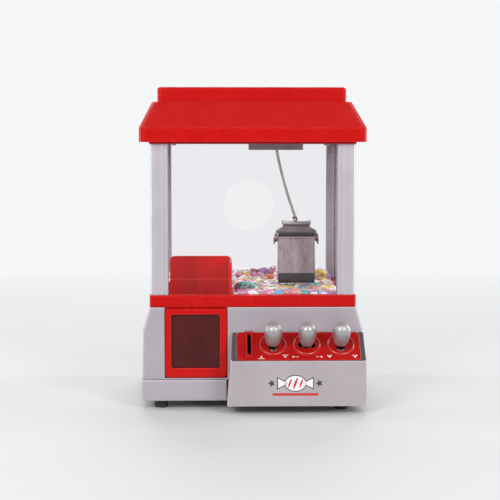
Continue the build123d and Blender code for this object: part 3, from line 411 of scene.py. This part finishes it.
nodeFinishes = {
    "silver": "base_housing",
    "silverBox": "control_box",
    "silverPost": "front_pillars",
    "silverBack": "rear_pillars",
    "silverTray": "base_plinth battery_door",
    "knob": "stick_knob_1 stick_knob_2 stick_knob_3",
    "red": "rim_frame roof_collar roof_cap roof_crest door_frame",
    "redLitInside": "chute_guard prize_chute playfield_deck",
    "redPanel": "control_panel coin_block",
    "clear": "front_window side_windows",
    "clearBack": "rear_window",
    "smoked": "prize_flap",
    "rubber": "feet",
    "black": "battery_box coin_way coin_bin power_slider power_switch speaker stick_lever_1 stick_lever_2"
             " stick_lever_3",
    "grey": "carriage_housing bridge_frame side_rails",
    "white": "cross_pinion winch_drum stick_brackets coin_lever",
    "steel": "screws bridge_rods drive_shaft flap_rod battery_contacts stick_springs claw_pins",
    "chain": "claw_hook chain claw_springs",
    "head": "claw_head",
    "jaw": "front_jaw rear_jaw",
    "can": "bridge_motor carriage_motors",
    "card": "main_board stick_board",
    "cell": "battery_cells",
    "sweet": "sweets_bed",
}
for key, names in nodeFinishes.items():
    for name in names.split():
        for holder in nodes[name].material_slots:
            holder.material = finishes[key]
nodes["coin_switch"].material_slots[0].material = finishes["black"]
print("nodes dressed")


def newPiece(name, shape, body, key, sharp=40):
    mesh = bpy.data.meshes.new(name)
    shape.to_mesh(mesh)
    shape.free()
    mesh.shade_smooth()
    mesh.set_sharp_from_angle(angle=math.radians(sharp))
    mesh.materials.append(finishes[key])
    piece = bpy.data.objects.new(name, mesh)
    bpy.context.scene.collection.objects.link(piece)
    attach(piece, body)
    return piece


def stamp(target, pattern, matrix):
    # adds a copy of a pattern mesh at a place, and returns its new points
    before = len(target.verts)
    target.from_mesh(pattern)
    target.verts.ensure_lookup_table()
    added = target.verts[before:]
    bmesh.ops.transform(target, matrix=matrix, verts=added)
    return added


def asPattern(shape):
    mesh = bpy.data.meshes.new("pattern")
    shape.to_mesh(mesh)
    shape.free()
    return mesh


def merge(target, shape, matrix):
    # moves a finished shape into a larger one, at a place
    pattern = asPattern(shape)
    stamp(target, pattern, matrix)
    bpy.data.meshes.remove(pattern)


def ringShape(radius, wire, sides, steps):
    # a closed ring of round wire about the origin
    shape = bmesh.new()
    place = Matrix.Translation((radius, 0, 0)) @ Matrix.Rotation(math.pi / 2, 4, "X")
    bmesh.ops.create_circle(shape, segments=sides, radius=wire, matrix=place)
    bmesh.ops.spin(
        shape, geom=shape.verts[:] + shape.edges[:], cent=(0, 0, 0), axis=(0, 0, 1),
        angle=2 * math.pi, steps=steps, use_merge=True,
    )
    return shape


def addRing(target, radius, wire, matrix):
    merge(target, ringShape(radius, wire, 8, 24), matrix)


def addBlock(target, low, high, edge):
    # a block with small bevelled edges
    low = Vector(low)
    high = Vector(high)
    shape = bmesh.new()
    bmesh.ops.create_cube(shape, size=1.0)
    bmesh.ops.scale(shape, verts=shape.verts, vec=high - low)
    bmesh.ops.translate(shape, verts=shape.verts, vec=(low + high) / 2)
    bmesh.ops.bevel(
        shape, geom=shape.edges[:], offset=edge, offset_type="OFFSET", segments=2, profile=0.5,
        affect="EDGES", material=-1, clamp_overlap=True,
    )
    merge(target, shape, Matrix.Identity(4))


# the chain is oval wire links, each turned a quarter from the last, hanging in a slight bow below the drum
chainSizes = {
    "wire": 1.15 * mm, "halfWidth": 2.3 * mm, "straight": 0.5 * mm, "pitch": 3.3 * mm, "bow": 2.6 * mm,
    "inset": 1.5 * mm, "below": 3.0 * mm, "sides": 6, "steps": 10, "twist": 45,
}


def linkPattern(sizes):
    around = sizes["halfWidth"] - sizes["wire"] / 2
    shape = ringShape(around, sizes["wire"] / 2, sizes["sides"], sizes["steps"])
    for vert in shape.verts:
        # points on the ring's middle line stay there
        if abs(vert.co.y) > 1e-7:
            vert.co.y += math.copysign(sizes["straight"], vert.co.y)
    bmesh.ops.recalc_face_normals(shape, faces=shape.faces[:])
    return asPattern(shape)


def makeChain(sizes):
    low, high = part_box("chain")
    hoist = joints["hoist"]
    upward = Vector(hoist["axis"]).normalized()
    middle = (low.y + high.y) / 2
    foot = Vector((high.x - sizes["inset"], middle, low.z))
    top = foot + upward * ((high.z - low.z - sizes["below"]) / upward.z)
    across = Vector((upward.z, 0, -upward.x))
    length = (top - foot).length
    count = round(length / sizes["pitch"])
    pattern = linkPattern(sizes)
    shape = bmesh.new()

    def onLine(share):
        return foot.lerp(top, share) - across * (4 * sizes["bow"] * share * (1 - share))

    for number in range(count):
        share = (number + 0.5) / count
        heading = (onLine(share + 0.01) - onLine(share - 0.01)).normalized()
        turn = heading.to_track_quat("Y", "Z").to_matrix().to_4x4()
        twist = Matrix.Rotation(math.radians(90 * (number % 2) + sizes["twist"]), 4, "Y")
        stamp(shape, pattern, Matrix.Translation(onLine(share)) @ turn @ twist)
    piece = newPiece("chain_links", shape, "carriage", "chain", sharp=60)
    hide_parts("chain")
    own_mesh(piece)
    print("chain made,", count, "links,", round(length, 4))


makeChain(chainSizes)


# twist-wrapped sweets, drops and rings, heaped in the tray
sweetSizes = {
    "pitch": 10.5 * mm, "row": 0.86, "half": 7.5 * mm, "girth": 4.6 * mm, "end": 4.2 * mm, "margin": 7.0 * mm,
    "levelShift": 3 * mm, "slope": 30 * mm, "edge": 0.6 * mm, "clawGap": 2 * mm, "seed": 11,
}
sweetTints = [
    (0.80, 0.01, 0.10), (0.66, 0.01, 0.30), (0.95, 0.26, 0.01), (0.95, 0.62, 0.02), (0.95, 0.80, 0.05),
    (0.10, 0.48, 0.04), (0.01, 0.45, 0.38), (0.03, 0.40, 0.70), (0.88, 0.12, 0.42), (0.95, 0.92, 0.93),
    (0.95, 0.93, 0.95), (0.95, 0.95, 0.93), (0.93, 0.94, 0.95), (0.95, 0.94, 0.95), (0.45, 0.20, 0.65),
]
# two large jelly rings that lie on top of the heap
largeRings = {
    "scale": (1.9, 1.9, 1.5, 1), "up": 1.5 * mm, "lean": -0.5,
    "rings": [
        {"x": 87 * mm, "y": 88 * mm, "tint": (0.90, 0.72, 0.0)},
        {"x": -8 * mm, "y": -32 * mm, "tint": (0.0, 0.46, 0.38)},
    ],
}


def shapeRing(ring, share, pleated, girth):
    # sets the ring's radius, with every second point drawn in where the film is pleated
    for number, vert in enumerate(sorted(ring, key=lambda vert: math.atan2(vert.co.z, vert.co.y))):
        reach = girth * share * (0.62 if pleated and number % 2 else 1.0)
        angle = math.atan2(vert.co.z, vert.co.y)
        vert.co.y = reach * math.cos(angle)
        vert.co.z = reach * math.sin(angle)


def twistPattern(sizes):
    # a fat body, pinched necks and pleated fans of film
    half = sizes["half"]
    end = sizes["end"]
    rings = [
        (-half - end, 0.95), (-half - end * 0.4, 0.6), (-half, 0.2), (-half * 0.72, 0.82), (0, 1.0),
        (half * 0.72, 0.82), (half, 0.2), (half + end * 0.4, 0.6), (half + end, 0.95),
    ]
    shape = bmesh.new()
    upright = Matrix.Rotation(math.pi / 2, 4, "Y")
    ring = bmesh.ops.create_circle(shape, segments=8, radius=sizes["girth"], matrix=upright)["verts"]
    edges = shape.edges[:]
    bmesh.ops.translate(shape, verts=ring, vec=(rings[0][0], 0, 0))
    shapeRing(ring, rings[0][1], True, sizes["girth"])
    for place, share in rings[1:]:
        grown = bmesh.ops.extrude_edge_only(shape, edges=edges)["geom"]
        ring = [item for item in grown if isinstance(item, bmesh.types.BMVert)]
        edges = [item for item in grown if isinstance(item, bmesh.types.BMEdge)]
        for vert in ring:
            vert.co.x = place
        shapeRing(ring, share, abs(place) > half, sizes["girth"])
    film = shape.verts.layers.float.new("film")
    for vert in shape.verts:
        vert[film] = min(1.0, max(0.0, (abs(vert.co.x) - half * 0.8) / end))
    bmesh.ops.recalc_face_normals(shape, faces=shape.faces[:])
    return asPattern(shape)


def ringPattern(sizes):
    # a jelly ring
    shape = ringShape(sizes["girth"] * 1.05, sizes["girth"] * 0.42, 6, 12)
    bmesh.ops.recalc_face_normals(shape, faces=shape.faces[:])
    shape.verts.layers.float.new("film")
    return asPattern(shape)


def dropPattern(sizes):
    # a round boiled sweet
    shape = bmesh.new()
    bmesh.ops.create_uvsphere(shape, u_segments=9, v_segments=6, radius=sizes["girth"] * 1.15)
    bmesh.ops.scale(shape, verts=shape.verts, vec=(1, 1, 0.72))
    shape.verts.layers.float.new("film")
    return asPattern(shape)


def clawPath(gap):
    # the box that the resting claw sweeps as the bridge travels
    travel = joints["bridge_travel"]
    ends = [value * travel["axis"][1] for value in travel["range_m"]]
    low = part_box("front_jaw")[0] + Vector((-gap, min(*ends, 0) - gap, 0))
    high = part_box("rear_jaw")[1] + Vector((gap, max(*ends, 0) + gap, 0))
    return low, high


def heapRise(y, limits, slope):
    # how much higher the heap lies towards the rear window
    high = limits["high"]
    return max(0, (y - (high.y - slope)) / slope) * (high.z - limits["flat"])


def drawMatrix(draw, place):
    # a place with a random lean, size and turn
    tilt = Matrix.Rotation(draw.uniform(-0.35, 0.35), 4, "Y")
    tilt = tilt @ Matrix.Rotation(draw.uniform(-0.5, 0.5), 4, "X")
    size = draw.uniform(0.82, 1.12)
    turn = Matrix.Rotation(draw.uniform(0, 2 * math.pi), 4, "Z")
    return Matrix.Translation(place) @ turn @ tilt @ Matrix.Diagonal((size, size, size, 1))


def makeSweets(sizes):
    draw = random.Random(sizes["seed"])
    low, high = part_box("sweets_bed")
    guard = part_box("chute_guard")[1]
    claw = clawPath(sizes["clawGap"])
    flat = claw[0].z - 0.8 * mm
    limits = {"low": low, "high": high, "guard": guard, "claw": claw, "flat": flat, "edge": sizes["edge"]}
    twist = twistPattern(sizes)
    ring = ringPattern(sizes)
    # most of the sweets are twist-wrapped
    patterns = [twist, twist, twist, dropPattern(sizes), ring]
    shape = bmesh.new()
    shape.verts.layers.float_color.new("tint")
    shape.verts.layers.float.new("turn")
    shape.verts.layers.float.new("film")
    near = sizes["margin"] * 0.6
    far = sizes["margin"] * 0.8
    count = 0
    for level in range(3):
        y = low.y + sizes["margin"] + level * sizes["levelShift"]
        while y < high.y - far:
            x = low.x + sizes["margin"] + draw.uniform(0, 4) * mm
            while x < high.x - far:
                inChute = x < guard.x + near and y < guard.y + near
                place = Vector((x + draw.uniform(-2, 2) * mm, y + draw.uniform(-2, 2) * mm, 0))
                rise = heapRise(place.y, limits, sizes["slope"])
                place.z = flat + rise - sizes["girth"] * (0.9 + 1.15 * level) + draw.uniform(-0.8, 0.5) * mm
                pattern = draw.choice(patterns)
                matrix = drawMatrix(draw, place)
                tint = draw.choice(sweetTints)
                if not inChute:
                    addSweet(shape, pattern, matrix, tint, limits)
                    count += 1
                x += sizes["pitch"] * draw.uniform(0.85, 1.15)
            y += sizes["pitch"] * sizes["row"]
    for large in largeRings["rings"]:
        rise = heapRise(large["y"], limits, sizes["slope"])
        place = Matrix.Translation((large["x"], large["y"], flat + rise + largeRings["up"]))
        lean = Matrix.Rotation(largeRings["lean"], 4, "X")
        addSweet(shape, ring, place @ lean @ Matrix.Diagonal(largeRings["scale"]), large["tint"], limits)
    piece = newPiece("wrapped_sweets", shape, "machine", "sweet", sharp=70)
    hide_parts("sweets_bed")
    print("sweets made,", count)


def addSweet(shape, pattern, matrix, tint, limits):
    low = limits["low"]
    high = limits["high"]
    guard = limits["guard"]
    clawLow, clawHigh = limits["claw"]
    edge = limits["edge"]
    added = stamp(shape, pattern, matrix)
    tintLayer = shape.verts.layers.float_color["tint"]
    turnLayer = shape.verts.layers.float["turn"]
    back = matrix.inverted()
    for vert in added:
        own = back @ vert.co
        vert[tintLayer] = (*tint, 1)
        vert[turnLayer] = math.atan2(own.z, own.y) / (2 * math.pi) + own.x / (9 * mm)
        # sweets press flat against the sheets, the floor and the screen, and leave the claw's path free
        vert.co.x = min(max(vert.co.x, low.x + edge), high.x - edge)
        vert.co.y = min(max(vert.co.y, low.y + edge), high.y - edge)
        vert.co.z = min(max(vert.co.z, low.z + edge), high.z - edge)
        if clawLow.x < vert.co.x < clawHigh.x and clawLow.y < vert.co.y < clawHigh.y:
            vert.co.z = min(vert.co.z, limits["flat"])
        if vert.co.x < guard.x + edge and vert.co.y < guard.y + edge:
            if guard.x - vert.co.x < guard.y - vert.co.y:
                vert.co.x = guard.x + edge
            else:
                vert.co.y = guard.y + edge


makeSweets(sweetSizes)


# torsion springs wound round the pin ends, each with its leg hanging down
coilSizes = {
    "coil": 4.7 * mm, "wire": 0.6 * mm, "turns": 2, "steps": 12, "advance": 2.3, "start": 1.8 * mm,
    "leg": 7.0 * mm, "toe": (0.4 * mm, 2 * mm, -1.2 * mm),
}


def coilShape(side, sizes):
    shape = bmesh.new()
    place = Matrix.Translation((0, sizes["coil"], 0))
    bmesh.ops.create_circle(shape, cap_ends=True, segments=6, radius=sizes["wire"], matrix=place)
    spun = bmesh.ops.spin(
        shape, geom=shape.verts[:] + shape.edges[:] + shape.faces[:], cent=(0, 0, 0), axis=(1, 0, 0),
        dvec=(side * sizes["wire"] * sizes["advance"] / sizes["steps"], 0, 0),
        angle=2 * math.pi * sizes["turns"], steps=sizes["steps"] * sizes["turns"],
    )
    last = [item for item in spun["geom_last"] if isinstance(item, bmesh.types.BMFace)]
    leg = bmesh.ops.extrude_discrete_faces(shape, faces=last)["faces"]
    bmesh.ops.translate(shape, verts=leg[0].verts[:], vec=(0, 0, -sizes["leg"]))
    toe = bmesh.ops.extrude_discrete_faces(shape, faces=leg)["faces"]
    right, back, up = sizes["toe"]
    bmesh.ops.translate(shape, verts=toe[0].verts[:], vec=(side * right, back, up))
    bmesh.ops.remove_doubles(shape, verts=shape.verts[:], dist=1e-7)
    return shape


def makeCoils(sizes):
    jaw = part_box("front_jaw")
    springs = bmesh.new()
    for name in ("front_jaw_swing", "rear_jaw_swing"):
        pivot = joints[name]["pos_m"]
        for side, reach in ((-1, jaw[0].x), (1, jaw[1].x)):
            start = reach + side * sizes["start"]
            merge(springs, coilShape(side, sizes), Matrix.Translation((start, pivot[1], pivot[2])))
    bmesh.ops.recalc_face_normals(springs, faces=springs.faces[:])
    piece = newPiece("claw_coils", springs, "claw", "coil", sharp=60)
    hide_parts("claw_springs")


# the claw's head: a dark yoke, dark strips that are painted shadow in the gap under the lips, and the bright
# lips and nubs of its top plate
headSizes = {
    "yokeInset": 2.6 * mm, "yokeHalf": 6.5 * mm, "yokeLow": 3.1 * mm, "yokeHigh": 6.2 * mm,
    "yokeEdge": 0.4 * mm,
    "nub": 1.5 * mm, "nubRight": 16.2 * mm, "nubBack": 8.0 * mm, "nubSunk": 0.6 * mm, "nubUp": 1.6 * mm,
    "nubEdge": 0.3 * mm,
    "strip": {"out": 9.0 * mm, "half": 15.2 * mm, "thick": 0.35 * mm, "low": 4.4 * mm, "high": 3.3 * mm,
              "edge": 0.1 * mm},
    "lip": {"out": 9.0 * mm, "half": 17 * mm, "thick": 0.5 * mm, "low": 3.2 * mm, "high": 0.3 * mm,
            "edge": 0.2 * mm},
}


def addFacing(shape, middle, top, face, sizes):
    # a thin bar on the front or the rear of the head, measured down from its top
    inner = middle.y + face * sizes["out"]
    outer = inner + face * sizes["thick"]
    addBlock(
        shape, (middle.x - sizes["half"], min(inner, outer), top - sizes["low"]),
        (middle.x + sizes["half"], max(inner, outer), top - sizes["high"]), sizes["edge"],
    )


def makeHeadParts(sizes):
    low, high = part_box("claw_head")
    middle = (low + high) / 2
    pivotUp = Vector(joints["front_jaw_swing"]["pos_m"]).z
    yoke = bmesh.new()
    addBlock(
        yoke, (low.x + sizes["yokeInset"], middle.y - sizes["yokeHalf"], pivotUp + sizes["yokeLow"]),
        (high.x - sizes["yokeInset"], middle.y + sizes["yokeHalf"], pivotUp + sizes["yokeHigh"]),
        sizes["yokeEdge"],
    )
    trim = bmesh.new()
    half = sizes["nub"] / 2
    for side in (-1, 1):
        for depth in (-1, 1):
            x = middle.x + side * sizes["nubRight"]
            y = middle.y + depth * sizes["nubBack"]
            addBlock(
                trim, (x - half, y - half, high.z - sizes["nubSunk"]),
                (x + half, y + half, high.z + sizes["nubUp"]), sizes["nubEdge"],
            )
    for face in (-1, 1):
        # the strips are painted shadow: black bars where the gap under the lip lies in shade
        addFacing(yoke, middle, high.z, face, sizes["strip"])
        addFacing(trim, middle, high.z, face, sizes["lip"])
    newPiece("claw_yoke", yoke, "claw", "black")
    newPiece("claw_trim", trim, "claw", "trim")


# the links between the hook and the chain, each placed from the middle of the hook and the head's top
hookLinkSizes = [
    {"right": 0, "up": 3.4 * mm, "radius": 2.3 * mm, "wire": 0.55 * mm, "turn": 90, "about": "X"},
    {"right": 1.2 * mm, "up": 1.6 * mm, "radius": 1.9 * mm, "wire": 0.55 * mm, "turn": 70, "about": "Y"},
    {"right": -1.9 * mm, "up": 4.6 * mm, "radius": 1.5 * mm, "wire": 0.45 * mm, "turn": 60, "about": "X"},
]


def makeHookLinks(links):
    low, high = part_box("claw_hook")
    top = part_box("claw_head")[1].z
    shape = bmesh.new()
    x = (low.x + high.x) / 2
    y = (low.y + high.y) / 2
    for sizes in links:
        place = Matrix.Translation((x + sizes["right"], y, top + sizes["up"]))
        turn = Matrix.Rotation(math.radians(sizes["turn"]), 4, sizes["about"])
        addRing(shape, sizes["radius"], sizes["wire"], place @ turn)
    bmesh.ops.recalc_face_normals(shape, faces=shape.faces[:])
    newPiece("hook_links", shape, "claw", "chain", sharp=60)


makeCoils(coilSizes)
makeHeadParts(headSizes)
makeHookLinks(hookLinkSizes)
print("claw details made")


# beads and printed marks on the sloping panel
panelSizes = {
    "faceUp": 13.0 * mm, "bead": 14.7 * mm, "beadUp": 1.05 * mm, "beadWire": 0.8 * mm,
    "markDown": 18.1 * mm, "lift": 0.06 * mm, "arrow": 1.7 * mm,
    "line": 7.0 * mm, "lineWidth": 0.7 * mm, "lineUp": 2.6 * mm,
    "tail": 2.45 * mm, "tailWidth": 0.16, "tailIn": 4.2 * mm,
    "dot": 0.9 * mm, "dotRight": 1.8 * mm, "dotUp": 1.9 * mm,
}
# for each stick, how far right its left and right marks stand and how many degrees they are turned
markPlaces = {
    1: ((-13.4 * mm, 0), (13.6 * mm, -180)),
    2: ((-16.0 * mm, 90), (15.8 * mm, -90)),
    3: ((-13.8 * mm, 45), (15.2 * mm, 45)),
}


def panelFrames(sizes):
    # for each stick, a matrix from the panel's own x and up-slope y to the machine
    upSlope = Vector(joints["stick_2_tilt"]["axis"]).normalized()
    outward = Vector((1, 0, 0)).cross(upSlope)
    turn = Matrix((Vector((1, 0, 0)), upSlope, outward)).transposed().to_4x4()
    frames = {}
    for number in (1, 2, 3):
        pivot = Vector(joints["stick_" + str(number) + "_tilt"]["pos_m"])
        frames[number] = Matrix.Translation(pivot + outward * sizes["faceUp"]) @ turn
    return frames


def addFlat(shape, segments, radius, place, stretch=(1, 1), turn=0.0):
    # a thin printed patch: a round, a triangle or a square, stretched and turned
    matrix = place @ Matrix.Rotation(turn, 4, "Z") @ Matrix.Diagonal((stretch[0], stretch[1], 1, 1))
    made = bmesh.ops.create_circle(shape, cap_ends=True, segments=segments, radius=radius, matrix=matrix)
    return made["verts"]


def addBar(shape, radius, place, squeeze):
    # a printed bar: a square standing on its side, squeezed flat
    addFlat(shape, 4, radius, place @ Matrix.Diagonal((1, squeeze, 1, 1)), turn=math.pi / 4)


def addMark(shape, number, side, spot, turn, sizes):
    # stick 1 has arrows to a line, stick 2 arrows with tails, and stick 3 a small open claw
    corners = 4 if number == 3 else 3
    addFlat(shape, corners, sizes["arrow"], spot, turn=math.radians(turn))
    if number == 1:
        line = spot @ Matrix.Translation((0, side * sizes["lineUp"], 0))
        addBar(shape, sizes["line"] / 1.41, line, sizes["lineWidth"] / sizes["line"])
    if number == 2:
        tail = spot @ Matrix.Translation((-side * sizes["tailIn"], 0, 0))
        addBar(shape, sizes["tail"], tail, sizes["tailWidth"])
    if number == 3:
        for shift in (-1, 1):
            dot = spot @ Matrix.Translation((shift * sizes["dotRight"], sizes["dotUp"], 0))
            addFlat(shape, 8, sizes["dot"], dot)


def makePanelMarks(sizes):
    frames = panelFrames(sizes)
    beads = bmesh.new()
    for place in frames.values():
        addRing(beads, sizes["bead"], sizes["beadWire"], place @ Matrix.Translation((0, 0, sizes["beadUp"])))
    bmesh.ops.recalc_face_normals(beads, faces=beads.faces[:])
    newPiece("panel_beads", beads, "machine", "redBead", sharp=80)
    marks = bmesh.new()
    for number, place in frames.items():
        for side, (x, turn) in zip((-1, 1), markPlaces[number]):
            spot = place @ Matrix.Translation((x, -sizes["markDown"], sizes["lift"]))
            addMark(marks, number, side, spot, turn, sizes)
    newPiece("panel_marks", marks, "machine", "inkWhite")


makePanelMarks(panelSizes)


# a plain wrapped sweet between two stars, over a red rule, printed on the control box
badgeSizes = {
    "x": 47.0 * mm, "z": 36.0 * mm, "probe": 10 * mm, "lift": 0.08 * mm, "layer": 0.04 * mm,
    "body": 11.5 * mm, "outline": 1.0 * mm, "tall": 0.74, "outlineTall": 20,
    "fan": 6.4 * mm, "fanOut": 4.6 * mm, "fanTall": 1.15, "outlineFan": 1.9,
    "stripes": ((-6.4 * mm, 5.3 * mm), (0, 6.6 * mm), (6.4 * mm, 5.3 * mm)),
    "stripeLean": -0.35, "stripeWide": 0.2,
    "star": 4.6 * mm, "starOut": 27 * mm, "starDip": 0.42,
    "rule": 26 * mm * 1.41, "ruleDown": 12.6 * mm, "ruleWidth": 0.055,
}


def boxFace(sizes):
    # a matrix from the badge's flat x and y to the leaning front of the control box
    box = nodes["control_box"]
    points = []
    for height in (sizes["z"] - sizes["probe"], sizes["z"] + sizes["probe"]):
        found = box.ray_cast(Vector((sizes["x"], -0.3, height)), Vector((0, 1, 0)))
        points.append(found[1])
    up = (points[1] - points[0]).normalized()
    outward = Vector((1, 0, 0)).cross(up)
    turn = Matrix((Vector((1, 0, 0)), up, outward)).transposed().to_4x4()
    return Matrix.Translation((points[0] + points[1]) / 2 + outward * sizes["lift"]) @ turn


def makeBadge(sizes):
    place = boxFace(sizes)
    layers = {"dark": bmesh.new(), "white": bmesh.new(), "red": bmesh.new()}
    body = sizes["body"]

    def spotOn(level, x, y=0):
        return place @ Matrix.Translation((0, 0, level * sizes["layer"])) @ Matrix.Translation((x, y, 0))

    for key, grow, level in (("dark", sizes["outline"], 0), ("white", 0.0, 1)):
        tall = sizes["tall"] + grow * sizes["outlineTall"]
        addFlat(layers[key], 40, body + grow, spotOn(level, 0), (1, tall))
        fan = sizes["fan"] + grow * sizes["outlineFan"]
        for side in (-1, 1):
            spot = spotOn(level, side * (body + sizes["fanOut"]))
            addFlat(layers[key], 3, fan, spot, (1, sizes["fanTall"]), side * math.pi / 2)
    for x, radius in sizes["stripes"]:
        stripe = spotOn(2, x) @ Matrix.Rotation(sizes["stripeLean"], 4, "Z")
        addFlat(layers["red"], 24, radius, stripe, (sizes["stripeWide"], 1))
    for side in (-1, 1):
        spot = spotOn(1, side * sizes["starOut"])
        points = addFlat(layers["dark"], 10, sizes["star"], spot, turn=math.pi / 10)
        centre = spot.to_translation()
        for vert in points[1::2]:
            vert.co = centre.lerp(vert.co, sizes["starDip"])
    addBar(layers["red"], sizes["rule"], spotOn(1, 0, -sizes["ruleDown"]), sizes["ruleWidth"])
    for key, ink in (("dark", "inkBlack"), ("white", "inkWhite"), ("red", "inkRed")):
        newPiece("badge_" + key, layers[key], "machine", ink)


makeBadge(badgeSizes)
print("marks made")


floorSizes = {"half": 6, "near": 0.35, "far": 1.6}


def makeFloor(sizes):
    # a pale floor that fades out, so that no horizon shows
    finish = Finish("floor_white")
    cloud = finish.grain(3, 2)
    table = finish.skin({
        "Base Color": finish.mixed(cloud, (0.60, 0.61, 0.615), (0.64, 0.645, 0.65)),
        "Roughness": 0.6 + cloud * 0.1,
    })
    reach = finish.node("VectorMath", {"operation": "LENGTH"}, {0: finish.spot}, "Value")
    clear = finish.node("BsdfTransparent")
    share = finish.step(reach, sizes["near"], sizes["far"])
    finish.done(finish.node("MixShader", None, {0: share, 1: table, 2: clear}))
    shape = bmesh.new()
    bmesh.ops.create_grid(shape, x_segments=1, y_segments=1, size=sizes["half"])
    mesh = bpy.data.meshes.new("floor")
    shape.to_mesh(mesh)
    shape.free()
    mesh.materials.append(finish.material)
    floor = bpy.data.objects.new("floor", mesh)
    bpy.context.scene.collection.objects.link(floor)


lamps = {
    "key": {"place": (-0.85, -1.5, 0.95), "aim": (0, 0, 0.18), "size": (0.7, 0.7), "power": 15.5},
    "fill": {"place": (0.9, -1.5, 0.9), "aim": (0, 0, 0.18), "size": (0.6, 0.6), "power": 12.5},
    "strip": {"place": (0, -1.1, 1.3), "aim": (0, 0, 0.2), "size": (1.6, 0.2), "power": 3},
    "left": {"place": (-1.2, 0.2, 0.5), "aim": (0, 0, 0.2), "size": (0.35, 1.1), "power": 8},
    "right": {"place": (1.2, 0.2, 0.5), "aim": (0, 0, 0.2), "size": (0.35, 1.1), "power": 8},
    "back": {"place": (0, 1.6, 1.3), "aim": (0, 0, 0.15), "size": (1.6, 0.8), "power": 20},
}


def makeLamp(name, sizes):
    data = bpy.data.lights.new("lamp_" + name, "AREA")
    data.shape = "RECTANGLE"
    data.size, data.size_y = sizes["size"]
    data.energy = sizes["power"]
    lamp = bpy.data.objects.new("lamp_" + name, data)
    lamp.visible_camera = False
    bpy.context.scene.collection.objects.link(lamp)
    lamp.location = sizes["place"]
    aim = Vector(sizes["aim"]) - Vector(sizes["place"])
    lamp.rotation_euler = aim.to_track_quat("-Z", "Y").to_euler()


def makeSky(sizes):
    # a bright backdrop for the eye, and a dimmer sky for light and reflections
    world = bpy.data.worlds.new("sky")
    bpy.context.scene.world = world
    world.use_nodes = True
    nodesHere = world.node_tree.nodes
    path = nodesHere.new("ShaderNodeLightPath")
    level = nodesHere.new("ShaderNodeMapRange")
    level.inputs["To Min"].default_value = sizes["light"]
    level.inputs["To Max"].default_value = sizes["seen"]
    world.node_tree.links.new(path.outputs["Is Camera Ray"], level.inputs["Value"])
    world.node_tree.links.new(level.outputs[0], nodesHere["Background"].inputs["Strength"])
    nodesHere["Background"].inputs["Color"].default_value = (*sizes["colour"], 1)


skySizes = {"colour": (0.965, 0.98, 0.985), "light": 0.36, "seen": 0.95}

makeFloor(floorSizes)
makeSky(skySizes)
bpy.context.scene.view_settings.view_transform = "Standard"
for name, sizes in lamps.items():
    makeLamp(name, sizes)
print("studio made")
